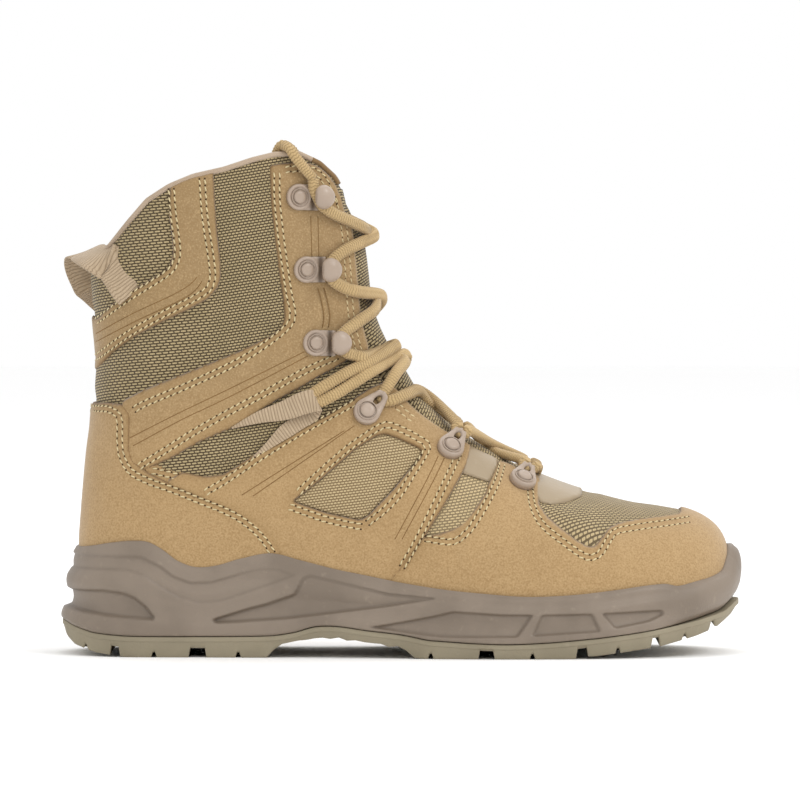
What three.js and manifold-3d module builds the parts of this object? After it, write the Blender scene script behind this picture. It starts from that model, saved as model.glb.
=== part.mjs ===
// A right tactical boot, standing on level ground, in millimetres.
// X runs from heel to toe, +Y is the inner side of the foot and Z is up.
// The origin lies on the ground under the middle of the sole.

import * as THREE from 'three';
import { mergeVertices } from 'three/addons/utils/BufferGeometryUtils.js';
import Module from 'manifold-3d';

const wasm = await Module();
wasm.setup();

// Driving sizes of the last
const SOLE_LENGTH = 305;
const BALL_WIDTH = 102;
const INSTEP_HEIGHT = 126;
const SHAFT_HEIGHT = 97;

// Driving sizes of the sole
const MIDSOLE_HEIGHT = 51;
const MIDSOLE_LIP = 5.6;
const RECESS_DEPTH = 1.4;
const OUTSOLE_INSET = 1.2;
const TREAD_INSET = 2.4;
const GROOVE_DEPTH = 4.2;
const JOIN_TRIM = 2;
const CHANNEL_WIDTH = 7;

// Driving thicknesses
const WALL = 2.4;
const OVERLAY = 1.2;
const TONGUE = 2.6;
const TONGUE_LAP = 5;
const INSOLE = 4;
const GAP = 0.3;
const OVERLAY_TUCK = 5;

// Driving sizes of the trim
const WEBBING = 1.4;
const LOOP_WIDTH = 15;
const LOOP_SPREAD = 26;
const LOOP_RISE = 26;
const HOOK_BASE = 5.9;
const HOOK_REACH = 10.3;
const HOOK_BALL = 4.6;
const HOOK_RISE = 4.8;
const EYELET_RADIUS = 6;
const EYELET_REACH = 8.4;
const EYELET_TIP = 3.6;
const EYELET_THICKNESS = 2.6;
const RIVET = 3.8;
const PLATE = 1.4;
const LACE = 4.4;
const LACE_SAG = 3.6;
const LACE_TUCK = 0.4;

// Fineness of the faceted surfaces
const SECTIONS = 27;
const RING = 18;
const FAR = 400;

/** A table of rows with named columns. */
function table(columns, rows) {
  return rows.map((row) => Object.fromEntries(columns.map((name, i) => [name, row[i]])));
}

// Lines of the last from the toe, along the sole, round the heel and up the shaft.
// front and back are the two ends of each section. x is a share of the sole length, and z is a
// share of the instep height up to 1, then of the shaft height up to 2. girth multiplies the width
// of the foot there, widest is where along the section it is reached, and the two powers say how
// square the section is behind and before that place.
const LAST = table(
  ['frontX', 'frontZ', 'backX', 'backZ', 'girth', 'widest', 'backPower', 'frontPower'],
  [
    [0.978, 0.32, 0.978, 0.32, 1, 0.5, 2.2, 2.2],
    [0.971, 0.4, 0.972, 0.24, 1, 0.45, 2.4, 2.2],
    [0.954, 0.455, 0.956, 0.17, 1, 0.4, 2.8, 2.2],
    [0.924, 0.495, 0.922, 0.115, 1, 0.36, 3.2, 2.2],
    [0.88, 0.518, 0.875, 0.088, 1, 0.33, 3.6, 2.2],
    [0.82, 0.54, 0.815, 0.08, 1, 0.31, 4, 2.1],
    [0.75, 0.585, 0.745, 0.08, 1, 0.3, 4, 2.05],
    [0.677, 0.655, 0.67, 0.08, 1, 0.29, 4, 2],
    [0.617, 0.735, 0.6, 0.08, 1, 0.28, 4, 1.95],
    [0.566, 0.82, 0.515, 0.08, 1, 0.28, 3.6, 1.9],
    [0.53, 0.91, 0.41, 0.08, 1, 0.3, 3.2, 1.9],
    [0.507, 0.995, 0.295, 0.08, 1, 0.34, 3, 1.95],
    [0.492, 1.06, 0.18, 0.087, 1, 0.4, 2.8, 2],
    [0.481, 1.125, 0.092, 0.125, 1.02, 0.44, 2.7, 2.05],
    [0.473, 1.195, 0.047, 0.222, 1.03, 0.47, 2.6, 2.1],
    [0.467, 1.275, 0.036, 0.36, 1.03, 0.48, 2.5, 2.1],
    [0.463, 1.36, 0.039, 0.52, 1.02, 0.48, 2.4, 2.1],
    [0.46, 1.45, 0.046, 0.7, 1.02, 0.48, 2.3, 2.1],
    [0.456, 1.55, 0.054, 0.88, 1.03, 0.48, 2.3, 2.1],
    [0.45, 1.66, 0.057, 1.06, 1.06, 0.48, 2.2, 2.1],
    [0.443, 1.77, 0.052, 1.25, 1.09, 0.48, 2.2, 2.1],
    [0.433, 1.88, 0.048, 1.44, 1.12, 0.48, 2.2, 2.1],
    [0.422, 1.99, 0.045, 1.63, 1.14, 0.48, 2.2, 2.1],
    [0.413, 2.1, 0.042, 1.82, 1.15, 0.48, 2.2, 2.1],
    [0.406, 2.2, 0.04, 2, 1.16, 0.48, 2.2, 2.1],
  ],
);

// The foot from above: where its middle runs and how far it reaches each way, as shares of the
// ball width. The toe end is rounded by a formula.
const PLAN = [
  { x: 0, centre: 0, half: 0.345 },
  { x: 0.15, centre: 0, half: 0.35 },
  { x: 0.3, centre: -0.012, half: 0.362 },
  { x: 0.42, centre: -0.025, half: 0.39 },
  { x: 0.52, centre: -0.027, half: 0.43 },
  { x: 0.62, centre: -0.015, half: 0.475 },
  { x: 0.7, centre: 0, half: 0.49 },
  { x: 0.78, centre: 0.012, half: 0.485 },
  { x: 0.86, centre: 0.03, half: 0.465 },
  { x: 0.93, centre: 0.042, half: 0.445 },
  { x: 1, centre: 0.05, half: 0.42 },
];
const TOE_ROUND_START = 0.78;
const TOE_ROUND_POWER = 2.4;
const HEEL_ROUND_END = 0.14;
const HEEL_ROUND_POWER = 2.3;

// Side lines of the sole. x is a share of the sole length and z of the midsole height.
const RIM = [
  { x: 0, z: 0.93 }, { x: 0.02, z: 0.94 }, { x: 0.08, z: 0.985 }, { x: 0.115, z: 1 },
  { x: 0.135, z: 0.985 }, { x: 0.155, z: 0.92 }, { x: 0.175, z: 0.83 }, { x: 0.2, z: 0.775 },
  { x: 0.23, z: 0.785 }, { x: 0.265, z: 0.845 }, { x: 0.31, z: 0.895 }, { x: 0.35, z: 0.84 },
  { x: 0.4, z: 0.765 }, { x: 0.45, z: 0.705 }, { x: 0.5, z: 0.645 }, { x: 0.56, z: 0.59 },
  { x: 0.62, z: 0.555 }, { x: 0.68, z: 0.53 }, { x: 0.74, z: 0.54 }, { x: 0.8, z: 0.575 },
  { x: 0.885, z: 0.63 }, { x: 0.91, z: 0.61 }, { x: 0.94, z: 0.645 }, { x: 0.965, z: 0.68 },
  { x: 0.983, z: 0.73 }, { x: 0.994, z: 0.85 }, { x: 1, z: 0.94 },
];
const JOIN = [
  { x: 0, z: 0.31 }, { x: 0.02, z: 0.262 }, { x: 0.05, z: 0.213 }, { x: 0.1, z: 0.188 },
  { x: 0.2, z: 0.186 }, { x: 0.31, z: 0.194 }, { x: 0.345, z: 0.225 }, { x: 0.375, z: 0.275 },
  { x: 0.405, z: 0.28 }, { x: 0.45, z: 0.245 }, { x: 0.5, z: 0.212 }, { x: 0.54, z: 0.165 },
  { x: 0.64, z: 0.133 }, { x: 0.71, z: 0.145 }, { x: 0.78, z: 0.18 }, { x: 0.83, z: 0.215 },
  { x: 0.88, z: 0.26 }, { x: 0.935, z: 0.325 }, { x: 0.975, z: 0.39 }, { x: 1, z: 0.48 },
];
const TREAD = [
  { x: 0, z: 0.23 }, { x: 0.006, z: 0.15 }, { x: 0.018, z: 0.095 }, { x: 0.05, z: 0.037 },
  { x: 0.097, z: 0 }, { x: 0.312, z: 0 }, { x: 0.324, z: 0.11 }, { x: 0.362, z: 0.165 },
  { x: 0.402, z: 0.185 }, { x: 0.445, z: 0.145 }, { x: 0.5, z: 0.105 }, { x: 0.515, z: 0 },
  { x: 0.747, z: 0 }, { x: 0.818, z: 0.05 }, { x: 0.878, z: 0.1 }, { x: 0.933, z: 0.18 },
  { x: 0.965, z: 0.245 }, { x: 0.99, z: 0.35 }, { x: 1, z: 0.42 },
];
const FLOOR = [
  { x: 0, z: 0.43 }, { x: 0.28, z: 0.42 }, { x: 0.4, z: 0.405 }, { x: 0.53, z: 0.34 },
  { x: 0.65, z: 0.29 }, { x: 0.74, z: 0.29 }, { x: 0.85, z: 0.34 }, { x: 0.94, z: 0.43 },
  { x: 1, z: 0.52 },
];

// How far the side of the midsole lies inside its widest line, in shares of the lip, from the
// bottom of its side (level 0) to its rim (level 1), at the heel and at the toe.
const MIDSOLE_SIDE = [
  { level: 0, heel: 0, toe: 0.8 },
  { level: 0.14, heel: 0.2, toe: 0.4 },
  { level: 0.3, heel: 0.7, toe: 0.1 },
  { level: 0.6, heel: 0.4, toe: 0 },
  { level: 0.84, heel: 0.75, toe: 0.15 },
  { level: 1, heel: 1.2, toe: 0.7 },
];

// Moulded recesses in the side of the midsole, corner by corner, in the shares of the side lines.
const RECESSES = [
  [[0.016, 0.38], [0.035, 0.56], [0.1, 0.56], [0.128, 0.45], [0.146, 0.34], [0.08, 0.36]],
  [[0.232, 0.33], [0.3, 0.56], [0.35, 0.72], [0.36, 0.56], [0.49, 0.47], [0.32, 0.4]],
  [[0.47, 0.285], [0.576, 0.41], [0.69, 0.375], [0.668, 0.2]],
  [[0.705, 0.375], [0.777, 0.37], [0.786, 0.25], [0.69, 0.215]],
  [[0.79, 0.385], [0.88, 0.41], [0.88, 0.36], [0.808, 0.27]],
];

// Grooves of the tread: where each lies, how wide it is, and how far it reaches in from each side
// as a share of the half width there.
const GROOVES = [
  { x: 0.037, width: 0.007, reach: 0.3 },
  { x: 0.083, width: 0.016, reach: 1 },
  { x: 0.142, width: 0.008, reach: 0.3 },
  { x: 0.205, width: 0.026, reach: 1 },
  { x: 0.264, width: 0.008, reach: 0.3 },
  { x: 0.542, width: 0.008, reach: 0.3 },
  { x: 0.623, width: 0.024, reach: 1 },
  { x: 0.69, width: 0.008, reach: 0.3 },
  { x: 0.762, width: 0.018, reach: 1 },
  { x: 0.815, width: 0.008, reach: 0.3 },
  { x: 0.871, width: 0.014, reach: 1 },
  { x: 0.915, width: 0.008, reach: 0.3 },
  { x: 0.958, width: 0.01, reach: 1 },
];
const CHANNELS = [
  { from: 0.1, to: 0.3 },
  { from: 0.53, to: 0.9 },
];

// The opening between the eyestays, along the sections of the last, in shares of the ball width.
const THROAT = [
  { section: 6.35, half: 0.06 },
  { section: 6.8, half: 0.115 },
  { section: 8, half: 0.15 },
  { section: 10, half: 0.165 },
  { section: 12, half: 0.17 },
  { section: 15, half: 0.18 },
  { section: 19, half: 0.185 },
  { section: 24, half: 0.19 },
];
const TONGUE_START = 5.9;

// Side outlines of the upper and its overlays, in the shares of the last
const COLLAR = [
  [0.03, 1.42], [0.047, 1.441], [0.059, 1.515], [0.079, 1.58], [0.105, 1.68], [0.133, 1.78],
  [0.165, 1.845], [0.2, 1.89], [0.245, 1.922], [0.286, 1.965], [0.318, 1.99], [0.352, 1.995],
  [0.381, 1.953], [0.403, 1.889], [0.416, 1.81], [0.425, 1.723], [0.46, 1.6],
];
const TONGUE_TOP = [
  [0.3, 1.975], [0.355, 1.975], [0.383, 1.93], [0.405, 1.865], [0.42, 1.78], [0.432, 1.7],
  [0.47, 1.6],
];
const COUNTER_EDGE = [
  [0.02, 0.886], [0.072, 0.891], [0.09, 0.885], [0.1, 0.85], [0.098, 0.73], [0.103, 0.688],
  [0.13, 0.643], [0.169, 0.606], [0.221, 0.555], [0.26, 0.517], [0.294, 0.473], [0.315, 0.422],
  [0.33, 0.345], [0.335, 0.2],
];
const STRAP_OUTLINE = [
  [0.02, 1.36], [0.051, 1.235], [0.079, 1.31], [0.105, 1.365], [0.15, 1.445], [0.165, 1.48],
  [0.17, 1.54], [0.169, 1.61], [0.164, 1.71], [0.165, 1.92], [0.228, 2.0], [0.231, 1.81],
  [0.234, 1.66], [0.239, 1.511], [0.24, 1.43], [0.235, 1.38], [0.22, 1.335], [0.19, 1.29],
  [0.159, 1.25], [0.111, 1.18], [0.079, 1.11], [0.056, 1.03], [0.02, 0.93],
];
const EYESTAY_OUTLINE = [
  [0.309, 2.08], [0.313, 1.76], [0.318, 1.61], [0.324, 1.46], [0.331, 1.31], [0.332, 1.24],
  [0.327, 1.2], [0.312, 1.165], [0.27, 1.1], [0.223, 1.04], [0.175, 0.985], [0.127, 0.939],
  [0.103, 0.9], [0.104, 0.845], [0.102, 0.77], [0.102, 0.73], [0.108, 0.693], [0.128, 0.66],
  [0.142, 0.672], [0.169, 0.701], [0.208, 0.755], [0.247, 0.796], [0.268, 0.815],
  [0.318, 0.896], [0.357, 0.947], [0.383, 0.985], [0.402, 1.01], [0.42, 1.046], [0.46, 1.1],
  [0.52, 1.4], [0.48, 2.08],
];
const QUARTER_OUTLINE = [
  [0.16, 0.62], [0.184, 0.65], [0.216, 0.634], [0.242, 0.641], [0.262, 0.669], [0.289, 0.714],
  [0.326, 0.758], [0.365, 0.815], [0.396, 0.854], [0.425, 0.896], [0.457, 0.946], [0.5, 0.99],
  [0.6, 0.9], [0.61, 0.8], [0.597, 0.68], [0.59, 0.649], [0.567, 0.554], [0.536, 0.433],
  [0.515, 0.357], [0.487, 0.269], [0.46, 0.18], [0.34, 0.2], [0.335, 0.345], [0.32, 0.424],
  [0.299, 0.48], [0.264, 0.525], [0.223, 0.564], [0.172, 0.615],
];
const QUARTER_WINDOW = [
  [0.344, 0.548], [0.391, 0.509], [0.44, 0.484], [0.452, 0.499], [0.488, 0.591], [0.532, 0.715],
  [0.529, 0.733], [0.496, 0.769], [0.478, 0.784], [0.466, 0.779], [0.435, 0.733], [0.383, 0.623],
];
const RAND_OUTLINE = [
  [0.65, 0.8], [0.643, 0.69], [0.628, 0.617], [0.623, 0.579], [0.604, 0.516], [0.589, 0.478],
  [0.573, 0.453], [0.555, 0.437], [0.541, 0.43], [0.52, 0.352], [0.492, 0.264], [0.47, 0.18],
  [1.02, 0.2], [1.02, 0.6], [0.915, 0.6], [0.913, 0.53], [0.907, 0.501], [0.881, 0.495],
  [0.841, 0.486], [0.818, 0.476], [0.802, 0.46], [0.792, 0.428], [0.781, 0.397], [0.771, 0.394],
  [0.755, 0.416], [0.732, 0.46], [0.711, 0.504], [0.701, 0.543], [0.704, 0.619], [0.7, 0.75],
];
const KEEPER_OUTLINE = [
  [0.261, 0.804], [0.366, 0.942], [0.38, 0.896], [0.372, 0.854], [0.355, 0.793],
  [0.286, 0.705], [0.29, 0.735], [0.329, 0.829],
];
const LOOP_PATCH = [[0.06, 1.36], [0.075, 1.25], [0.11, 1.33], [0.1, 1.46]];

// Where the hardware sits: the rivet, and which way the hook or loop points, in shares of the last
const HOOKS = [
  { x: 0.35, z: 1.8, towardX: 0.385, towardZ: 1.8 },
  { x: 0.368, z: 1.469, towardX: 0.402, towardZ: 1.469 },
  { x: 0.377, z: 1.133, towardX: 0.412, towardZ: 1.128 },
];
const EYELETS = [
  { x: 0.449, z: 0.852, towardX: 0.475, towardZ: 0.915 },
  { x: 0.569, z: 0.719, towardX: 0.582, towardZ: 0.765 },
  { x: 0.674, z: 0.603, towardX: 0.681, towardZ: 0.635 },
];

// Route of each tucked end, from the top hook over the collar, with its height above the skin
const LACE_END = [
  { x: 0.366, z: 1.875, lift: 4.4 },
  { x: 0.352, z: 1.93, lift: 4.4 },
  { x: 0.34, z: 1.98, lift: 4.4 },
  { x: 0.334, z: 2.02, lift: 2.4 },
  { x: 0.33, z: 2.03, lift: -2.6 },
  { x: 0.326, z: 1.985, lift: -6 },
  { x: 0.322, z: 1.92, lift: -6.4 },
];

const COLOURS = {
  suede: 0xc2a06e,
  mesh: 0x8d8056,
  lining: 0xa8927a,
  midsole: 0x8d7e6e,
  outsole: 0x8a806a,
  hardware: 0xa89687,
  lace: 0xbea676,
  webbing: 0xc8b092,
};

/** X in millimetres for a share of the sole length. */
function alongSole(share) {
  return (share - 0.5) * SOLE_LENGTH;
}

/** Height on the last: shares up to 1 lie on the foot and the rest on the shaft. */
function onLast(share) {
  const foot = Math.min(share, 1);
  const shaft = Math.max(share - 1, 0);
  return foot * INSTEP_HEIGHT + shaft * SHAFT_HEIGHT;
}

/** A smooth value between four neighbours of a table. */
function smooth(before, start, end, after, t) {
  const linear = (end - before) * t;
  const square = (2 * before - 5 * start + 4 * end - after) * t * t;
  const cube = (3 * start - before - 3 * end + after) * t * t * t;
  return start + 0.5 * (linear + square + cube);
}

/** One column of a table at a fractional row. */
function column(rows, key, place) {
  const last = rows.length - 1;
  const at = Math.min(Math.max(Math.floor(place), 0), last - 1);
  const pick = (k) => rows[Math.min(Math.max(at + k, 0), last)][key];
  return smooth(pick(-1), pick(0), pick(1), pick(2), place - at);
}

/** The fractional row of a table at which its key column reaches a value. */
function rowAt(rows, key, value) {
  let i = 0;
  while (i < rows.length - 2 && rows[i + 1][key] < value) i += 1;
  const t = (value - rows[i][key]) / (rows[i + 1][key] - rows[i][key]);
  return i + Math.min(Math.max(t, 0), 1);
}

/** A straight reading of a side line of the sole, in millimetres. */
function sideLine(rows, share) {
  const place = rowAt(rows, 'x', share);
  const i = Math.min(Math.floor(place), rows.length - 2);
  return THREE.MathUtils.lerp(rows[i].z, rows[i + 1].z, place - i) * MIDSOLE_HEIGHT;
}

/** Middle and half width of the foot at a share of its length. */
function plan(share) {
  const place = rowAt(PLAN, 'x', share);
  return {
    centre: column(PLAN, 'centre', place) * BALL_WIDTH,
    half: column(PLAN, 'half', place) * BALL_WIDTH,
  };
}

/** How much a rounded end keeps of the full width: 1 at its start and 0 at its tip. */
function rounded(share, start, tip, power) {
  const u = Math.min(Math.max((share - start) / (tip - start), 0), 1);
  return (1 - u ** power) ** (1 / power);
}

/** The ends, width and powers of the section of the last at a fractional row. */
function section(place) {
  const read = (key) => column(LAST, key, place);
  const widest = read('widest');
  const front = { x: alongSole(read('frontX')), z: onLast(read('frontZ')) };
  const back = { x: alongSole(read('backX')), z: onLast(read('backZ')) };
  const x = THREE.MathUtils.lerp(read('backX'), read('frontX'), widest);
  const { centre, half } = plan(x);
  const toe = rounded(x, TOE_ROUND_START, LAST[0].frontX, TOE_ROUND_POWER);
  return {
    front,
    back,
    widest,
    centre,
    half: half * toe * read('girth'),
    backPower: read('backPower'),
    frontPower: read('frontPower'),
  };
}

/** A point of the last's skin: angle 0 is the back of the section and PI its front. */
function skin(place, angle) {
  const s = section(place);
  const side = Math.sin(angle) < 0 ? 1 : -1;
  const across = Math.abs(Math.sin(angle));
  const along = Math.abs(Math.cos(angle));
  const behind = Math.cos(angle) >= 0;
  const power = 2 / (behind ? s.backPower : s.frontPower);
  const h = behind
    ? s.widest * (1 - along ** power)
    : s.widest + (1 - s.widest) * along ** power;
  return new THREE.Vector3(
    THREE.MathUtils.lerp(s.back.x, s.front.x, h),
    s.centre + side * s.half * across ** power,
    THREE.MathUtils.lerp(s.back.z, s.front.z, h),
  );
}

/** The outward direction of the skin. */
function outward(place, angle) {
  const step = 0.02;
  if (place < step) return new THREE.Vector3(1, 0, 0);
  const end = LAST.length - 1;
  const alongFan = skin(Math.min(place + step, end), angle).sub(skin(place - step, angle));
  const around = skin(place, angle + step).sub(skin(place, angle - step));
  return around.cross(alongFan).normalize();
}

/** A point at a height over the skin. */
function over(place, angle, lift) {
  return skin(place, angle).addScaledVector(outward(place, angle), lift);
}

/** The section and angle of the skin that lie behind a side view point, on one side. */
function findOnSkin(x, z, side) {
  const target = { x: alongSole(x), z: onLast(z) };
  const turn = (place) => {
    const s = section(place);
    return (s.front.x - s.back.x) * (target.z - s.back.z)
      - (s.front.z - s.back.z) * (target.x - s.back.x);
  };
  let low = 1;
  let high = LAST.length - 1;
  for (let i = 0; i < 40; i += 1) {
    const middle = (low + high) / 2;
    if (turn(middle) > 0) low = middle;
    else high = middle;
  }
  const s = section(low);
  const run = { x: s.front.x - s.back.x, z: s.front.z - s.back.z };
  const reach = (target.x - s.back.x) * run.x + (target.z - s.back.z) * run.z;
  const h = Math.min(Math.max(reach / (run.x ** 2 + run.z ** 2), 0), 1);
  const angle = h < s.widest
    ? Math.acos((1 - h / s.widest) ** (s.backPower / 2))
    : Math.acos(-(((h - s.widest) / (1 - s.widest)) ** (s.frontPower / 2)));
  return { place: low, angle: side < 0 ? angle : 2 * Math.PI - angle };
}

/** A closed solid from a three.js geometry. */
function solid(geometry) {
  const bare = geometry.index ? geometry.toNonIndexed() : geometry.clone();
  for (const name of Object.keys(bare.attributes)) {
    if (name !== 'position') bare.deleteAttribute(name);
  }
  const merged = mergeVertices(bare, 1e-4);
  return new wasm.Manifold(new wasm.Mesh({
    numProp: 3,
    vertProperties: new Float32Array(merged.attributes.position.array),
    triVerts: new Uint32Array(merged.index.array),
  }));
}

/** A closed solid through rings of points, with its two ends closed by strips or by a pole. */
function loft(rings) {
  const count = rings[0].length;
  const triangles = [];
  const quad = (a, b, c, d) => triangles.push(a, b, c, a, c, d);
  for (let i = 0; i + 1 < rings.length; i += 1) {
    for (let j = 0; j < count; j += 1) {
      const k = (j + 1) % count;
      quad(rings[i][j], rings[i][k], rings[i + 1][k], rings[i + 1][j]);
    }
  }
  const first = rings[0];
  const last = rings[rings.length - 1];
  for (let j = 1; j <= count / 2; j += 1) {
    const k = count - j;
    quad(first[j - 1], first[(k + 1) % count], first[k], first[j]);
    quad(last[j], last[k], last[(k + 1) % count], last[j - 1]);
  }
  const whole = triangles.filter((_, i) => {
    const [a, b, c] = triangles.slice(i - (i % 3), i - (i % 3) + 3);
    return a.distanceTo(b) > 1e-3 && b.distanceTo(c) > 1e-3 && c.distanceTo(a) > 1e-3;
  });
  return solid(new THREE.BufferGeometry().setFromPoints(whole));
}

/** The last grown by a thickness, as a closed solid. */
function form(lift) {
  const end = LAST.length - 1;
  const rings = [];
  for (let i = 0; i < SECTIONS; i += 1) {
    const place = (i / (SECTIONS - 1)) * end;
    const ring = [];
    for (let j = 0; j < RING; j += 1) {
      const angle = (j / RING) * 2 * Math.PI;
      ring.push(over(place, angle, lift));
    }
    rings.push(ring);
  }
  return loft(rings);
}

/** A side outline carried across the boot from one Y to another. */
function prism(corners, fromY = -FAR / 2, toY = FAR / 2) {
  const shape = new THREE.Shape(corners.map(([x, z]) => new THREE.Vector2(x, z)));
  const geometry = new THREE.ExtrudeGeometry(shape, { depth: toY - fromY, bevelEnabled: false });
  geometry.rotateX(Math.PI / 2);
  geometry.translate(0, toY, 0);
  return solid(geometry);
}

/** The corners of an outline drawn on the last, in millimetres. */
function lastOutline(corners) {
  return corners.map(([x, z]) => [alongSole(x), onLast(z)]);
}

/** The corners of a side line of the sole, in millimetres, raised by a height. */
function soleOutline(rows, raise = 0) {
  return rows.map(({ x, z }) => [alongSole(x), z * MIDSOLE_HEIGHT + raise]);
}

/** Everything above a line, or below it. */
function beyond(line, up) {
  const far = up ? FAR : -FAR;
  const first = line[0];
  const last = line[line.length - 1];
  return prism([[-FAR, first[1]], ...line, [FAR, last[1]], [FAR, far], [-FAR, far]]);
}

/** The ribbon of the throat: the front of the last within a half width, made wider by a lap. */
function throat(lap, start) {
  const rows = THROAT.filter((row) => row.section > start);
  const stations = [{ section: start, half: THROAT[0].half }, ...rows];
  const outside = 12;
  const inside = 26;
  return loft(stations.map((row) => {
    const s = section(row.section);
    const along = new THREE.Vector3(s.front.x - s.back.x, 0, s.front.z - s.back.z).normalize();
    const front = new THREE.Vector3(s.front.x, s.centre, s.front.z);
    const half = row.half * BALL_WIDTH + lap;
    const corner = (depth, y) => front.clone().addScaledVector(along, depth).setY(s.centre + y);
    return [
      corner(-inside, -half),
      corner(outside, -half),
      corner(outside, half),
      corner(-inside, half),
    ];
  }));
}

/** The outline of the sole from above, moved in from its widest line, at a height. */
function soleRing(stations, insetAt, heightAt) {
  const at = (share, side) => {
    const { centre, half } = plan(share);
    const toe = rounded(share, TOE_ROUND_START, 1, TOE_ROUND_POWER);
    const heel = rounded(share, HEEL_ROUND_END, 0, HEEL_ROUND_POWER);
    const reach = (half + MIDSOLE_LIP) * toe * heel;
    return new THREE.Vector2(alongSole(share), centre + side * reach);
  };
  const inner = stations.slice(1, -1);
  const way = [
    ...stations.map((share) => ({ share, side: -1 })),
    ...inner.reverse().map((share) => ({ share, side: 1 })),
  ];
  const points = way.map(({ share, side }) => at(share, side));
  return points.map((point, i) => {
    const next = points[(i + 1) % points.length];
    const before = points[(i + points.length - 1) % points.length];
    const run = next.clone().sub(before).normalize();
    const { share } = way[i];
    const depth = insetAt(share);
    const x = point.x - run.y * depth;
    const y = point.y + run.x * depth;
    return new THREE.Vector3(x, y, heightAt(share));
  });
}

/** The body of the midsole before its cup and recesses are cut. */
function midsoleBody(extraInset) {
  const stations = RIM.map((row) => row.x);
  const rings = MIDSOLE_SIDE.map(({ level, heel, toe }) => {
    const inset = (share) => THREE.MathUtils.lerp(heel, toe, share) * MIDSOLE_LIP + extraInset;
    const height = (share) => {
      const low = sideLine(JOIN, share) - JOIN_TRIM;
      return THREE.MathUtils.lerp(low, sideLine(RIM, share), level);
    };
    return soleRing(stations, inset, height);
  });
  return loft(rings).subtract(beyond(soleOutline(JOIN), false));
}

/** The foam cup of the sole, with its rim, bumper and recesses. */
function midsole() {
  const core = midsoleBody(RECESS_DEPTH);
  let body = midsoleBody(0);
  for (const corners of RECESSES) {
    const recess = prism(corners.map(([x, z]) => [alongSole(x), z * MIDSOLE_HEIGHT]));
    body = body.subtract(recess.subtract(core));
  }
  const cup = form(GAP + OVERLAY + GAP).subtract(beyond(soleOutline(FLOOR), false));
  return body.subtract(cup);
}

/** The rubber outsole with its grooves and channels. */
function outsole() {
  const stations = TREAD.map((row) => row.x);
  const top = soleRing(stations, () => OUTSOLE_INSET, (share) => sideLine(JOIN, share) + JOIN_TRIM);
  const bottom = soleRing(stations, () => TREAD_INSET, (share) => sideLine(TREAD, share));
  let body = loft([bottom, top]).subtract(beyond(soleOutline(JOIN, -GAP), true));
  for (const groove of GROOVES) {
    const { centre, half } = plan(groove.x);
    const edge = half + MIDSOLE_LIP;
    const right = groove.reach === 1;
    for (const side of right ? [0] : [-1, 1]) {
      const across = right ? BALL_WIDTH * 2 : edge * groove.reach * 2;
      const cutter = new THREE.BoxGeometry(groove.width * SOLE_LENGTH, across, GROOVE_DEPTH * 2);
      cutter.translate(alongSole(groove.x), centre + side * edge, sideLine(TREAD, groove.x));
      body = body.subtract(solid(cutter));
    }
  }
  for (const channel of CHANNELS) {
    const length = (channel.to - channel.from) * SOLE_LENGTH;
    const middle = (channel.to + channel.from) / 2;
    const cutter = new THREE.BoxGeometry(length, CHANNEL_WIDTH, GROOVE_DEPTH * 2);
    cutter.translate(alongSole(middle), plan(middle).centre, 0);
    body = body.subtract(solid(cutter));
  }
  return body;
}

/** The footbed that lies on the floor of the cup, inside the upper. */
function insole() {
  const below = beyond(soleOutline(FLOOR, GAP), false);
  const above = beyond(soleOutline(FLOOR, GAP + INSOLE), true);
  return form(-WALL - GAP).subtract(below).subtract(above);
}

/** The hollow upper, open at collar, throat and underneath. */
function upper() {
  return form(0)
    .subtract(form(-WALL))
    .subtract(beyond(lastOutline(COLLAR), true))
    .subtract(beyond(soleOutline(FLOOR, GAP), false))
    .subtract(throat(0, THROAT[0].section));
}

/** The padded sheet behind the throat. */
function tongue() {
  const outer = -WALL - GAP;
  return form(outer)
    .subtract(form(outer - TONGUE))
    .intersect(throat(TONGUE_LAP, TONGUE_START))
    .subtract(beyond(lastOutline(TONGUE_TOP), true));
}

const overlayShell = form(GAP + OVERLAY).subtract(form(GAP));
const trimShell = form(GAP + OVERLAY + GAP + WEBBING).subtract(form(GAP + OVERLAY + GAP));
const belowTuck = beyond(soleOutline(FLOOR, OVERLAY_TUCK), false);
const aboveCollar = beyond(lastOutline(COLLAR), true);
const openThroat = throat(0, THROAT[0].section);

/** An overlay on the skin inside a side outline, on one side or both. */
function overlay(corners, side = 0) {
  const fromY = side > 0 ? 0 : -FAR / 2;
  const toY = side < 0 ? 0 : FAR / 2;
  return overlayShell
    .intersect(prism(lastOutline(corners), fromY, toY))
    .subtract(belowTuck)
    .subtract(aboveCollar)
    .subtract(openThroat);
}

/** The suede piece around the heel. */
function heelCounter() {
  const edge = lastOutline(COUNTER_EDGE);
  const back = alongSole(-0.1);
  const corners = [...edge, [edge[edge.length - 1][0], 0], [back, 0], [back, edge[0][1]]];
  return overlayShell.intersect(prism(corners)).subtract(belowTuck);
}

/** The lower side piece with its mesh window. */
function quarter(side) {
  return overlay(QUARTER_OUTLINE, side).subtract(prism(lastOutline(QUARTER_WINDOW)));
}

/** The webbing lace keeper at the ankle. */
function keeper(side) {
  const fromY = side > 0 ? 0 : -FAR / 2;
  const toY = side < 0 ? 0 : FAR / 2;
  return trimShell.intersect(prism(lastOutline(KEEPER_OUTLINE), fromY, toY));
}

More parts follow.
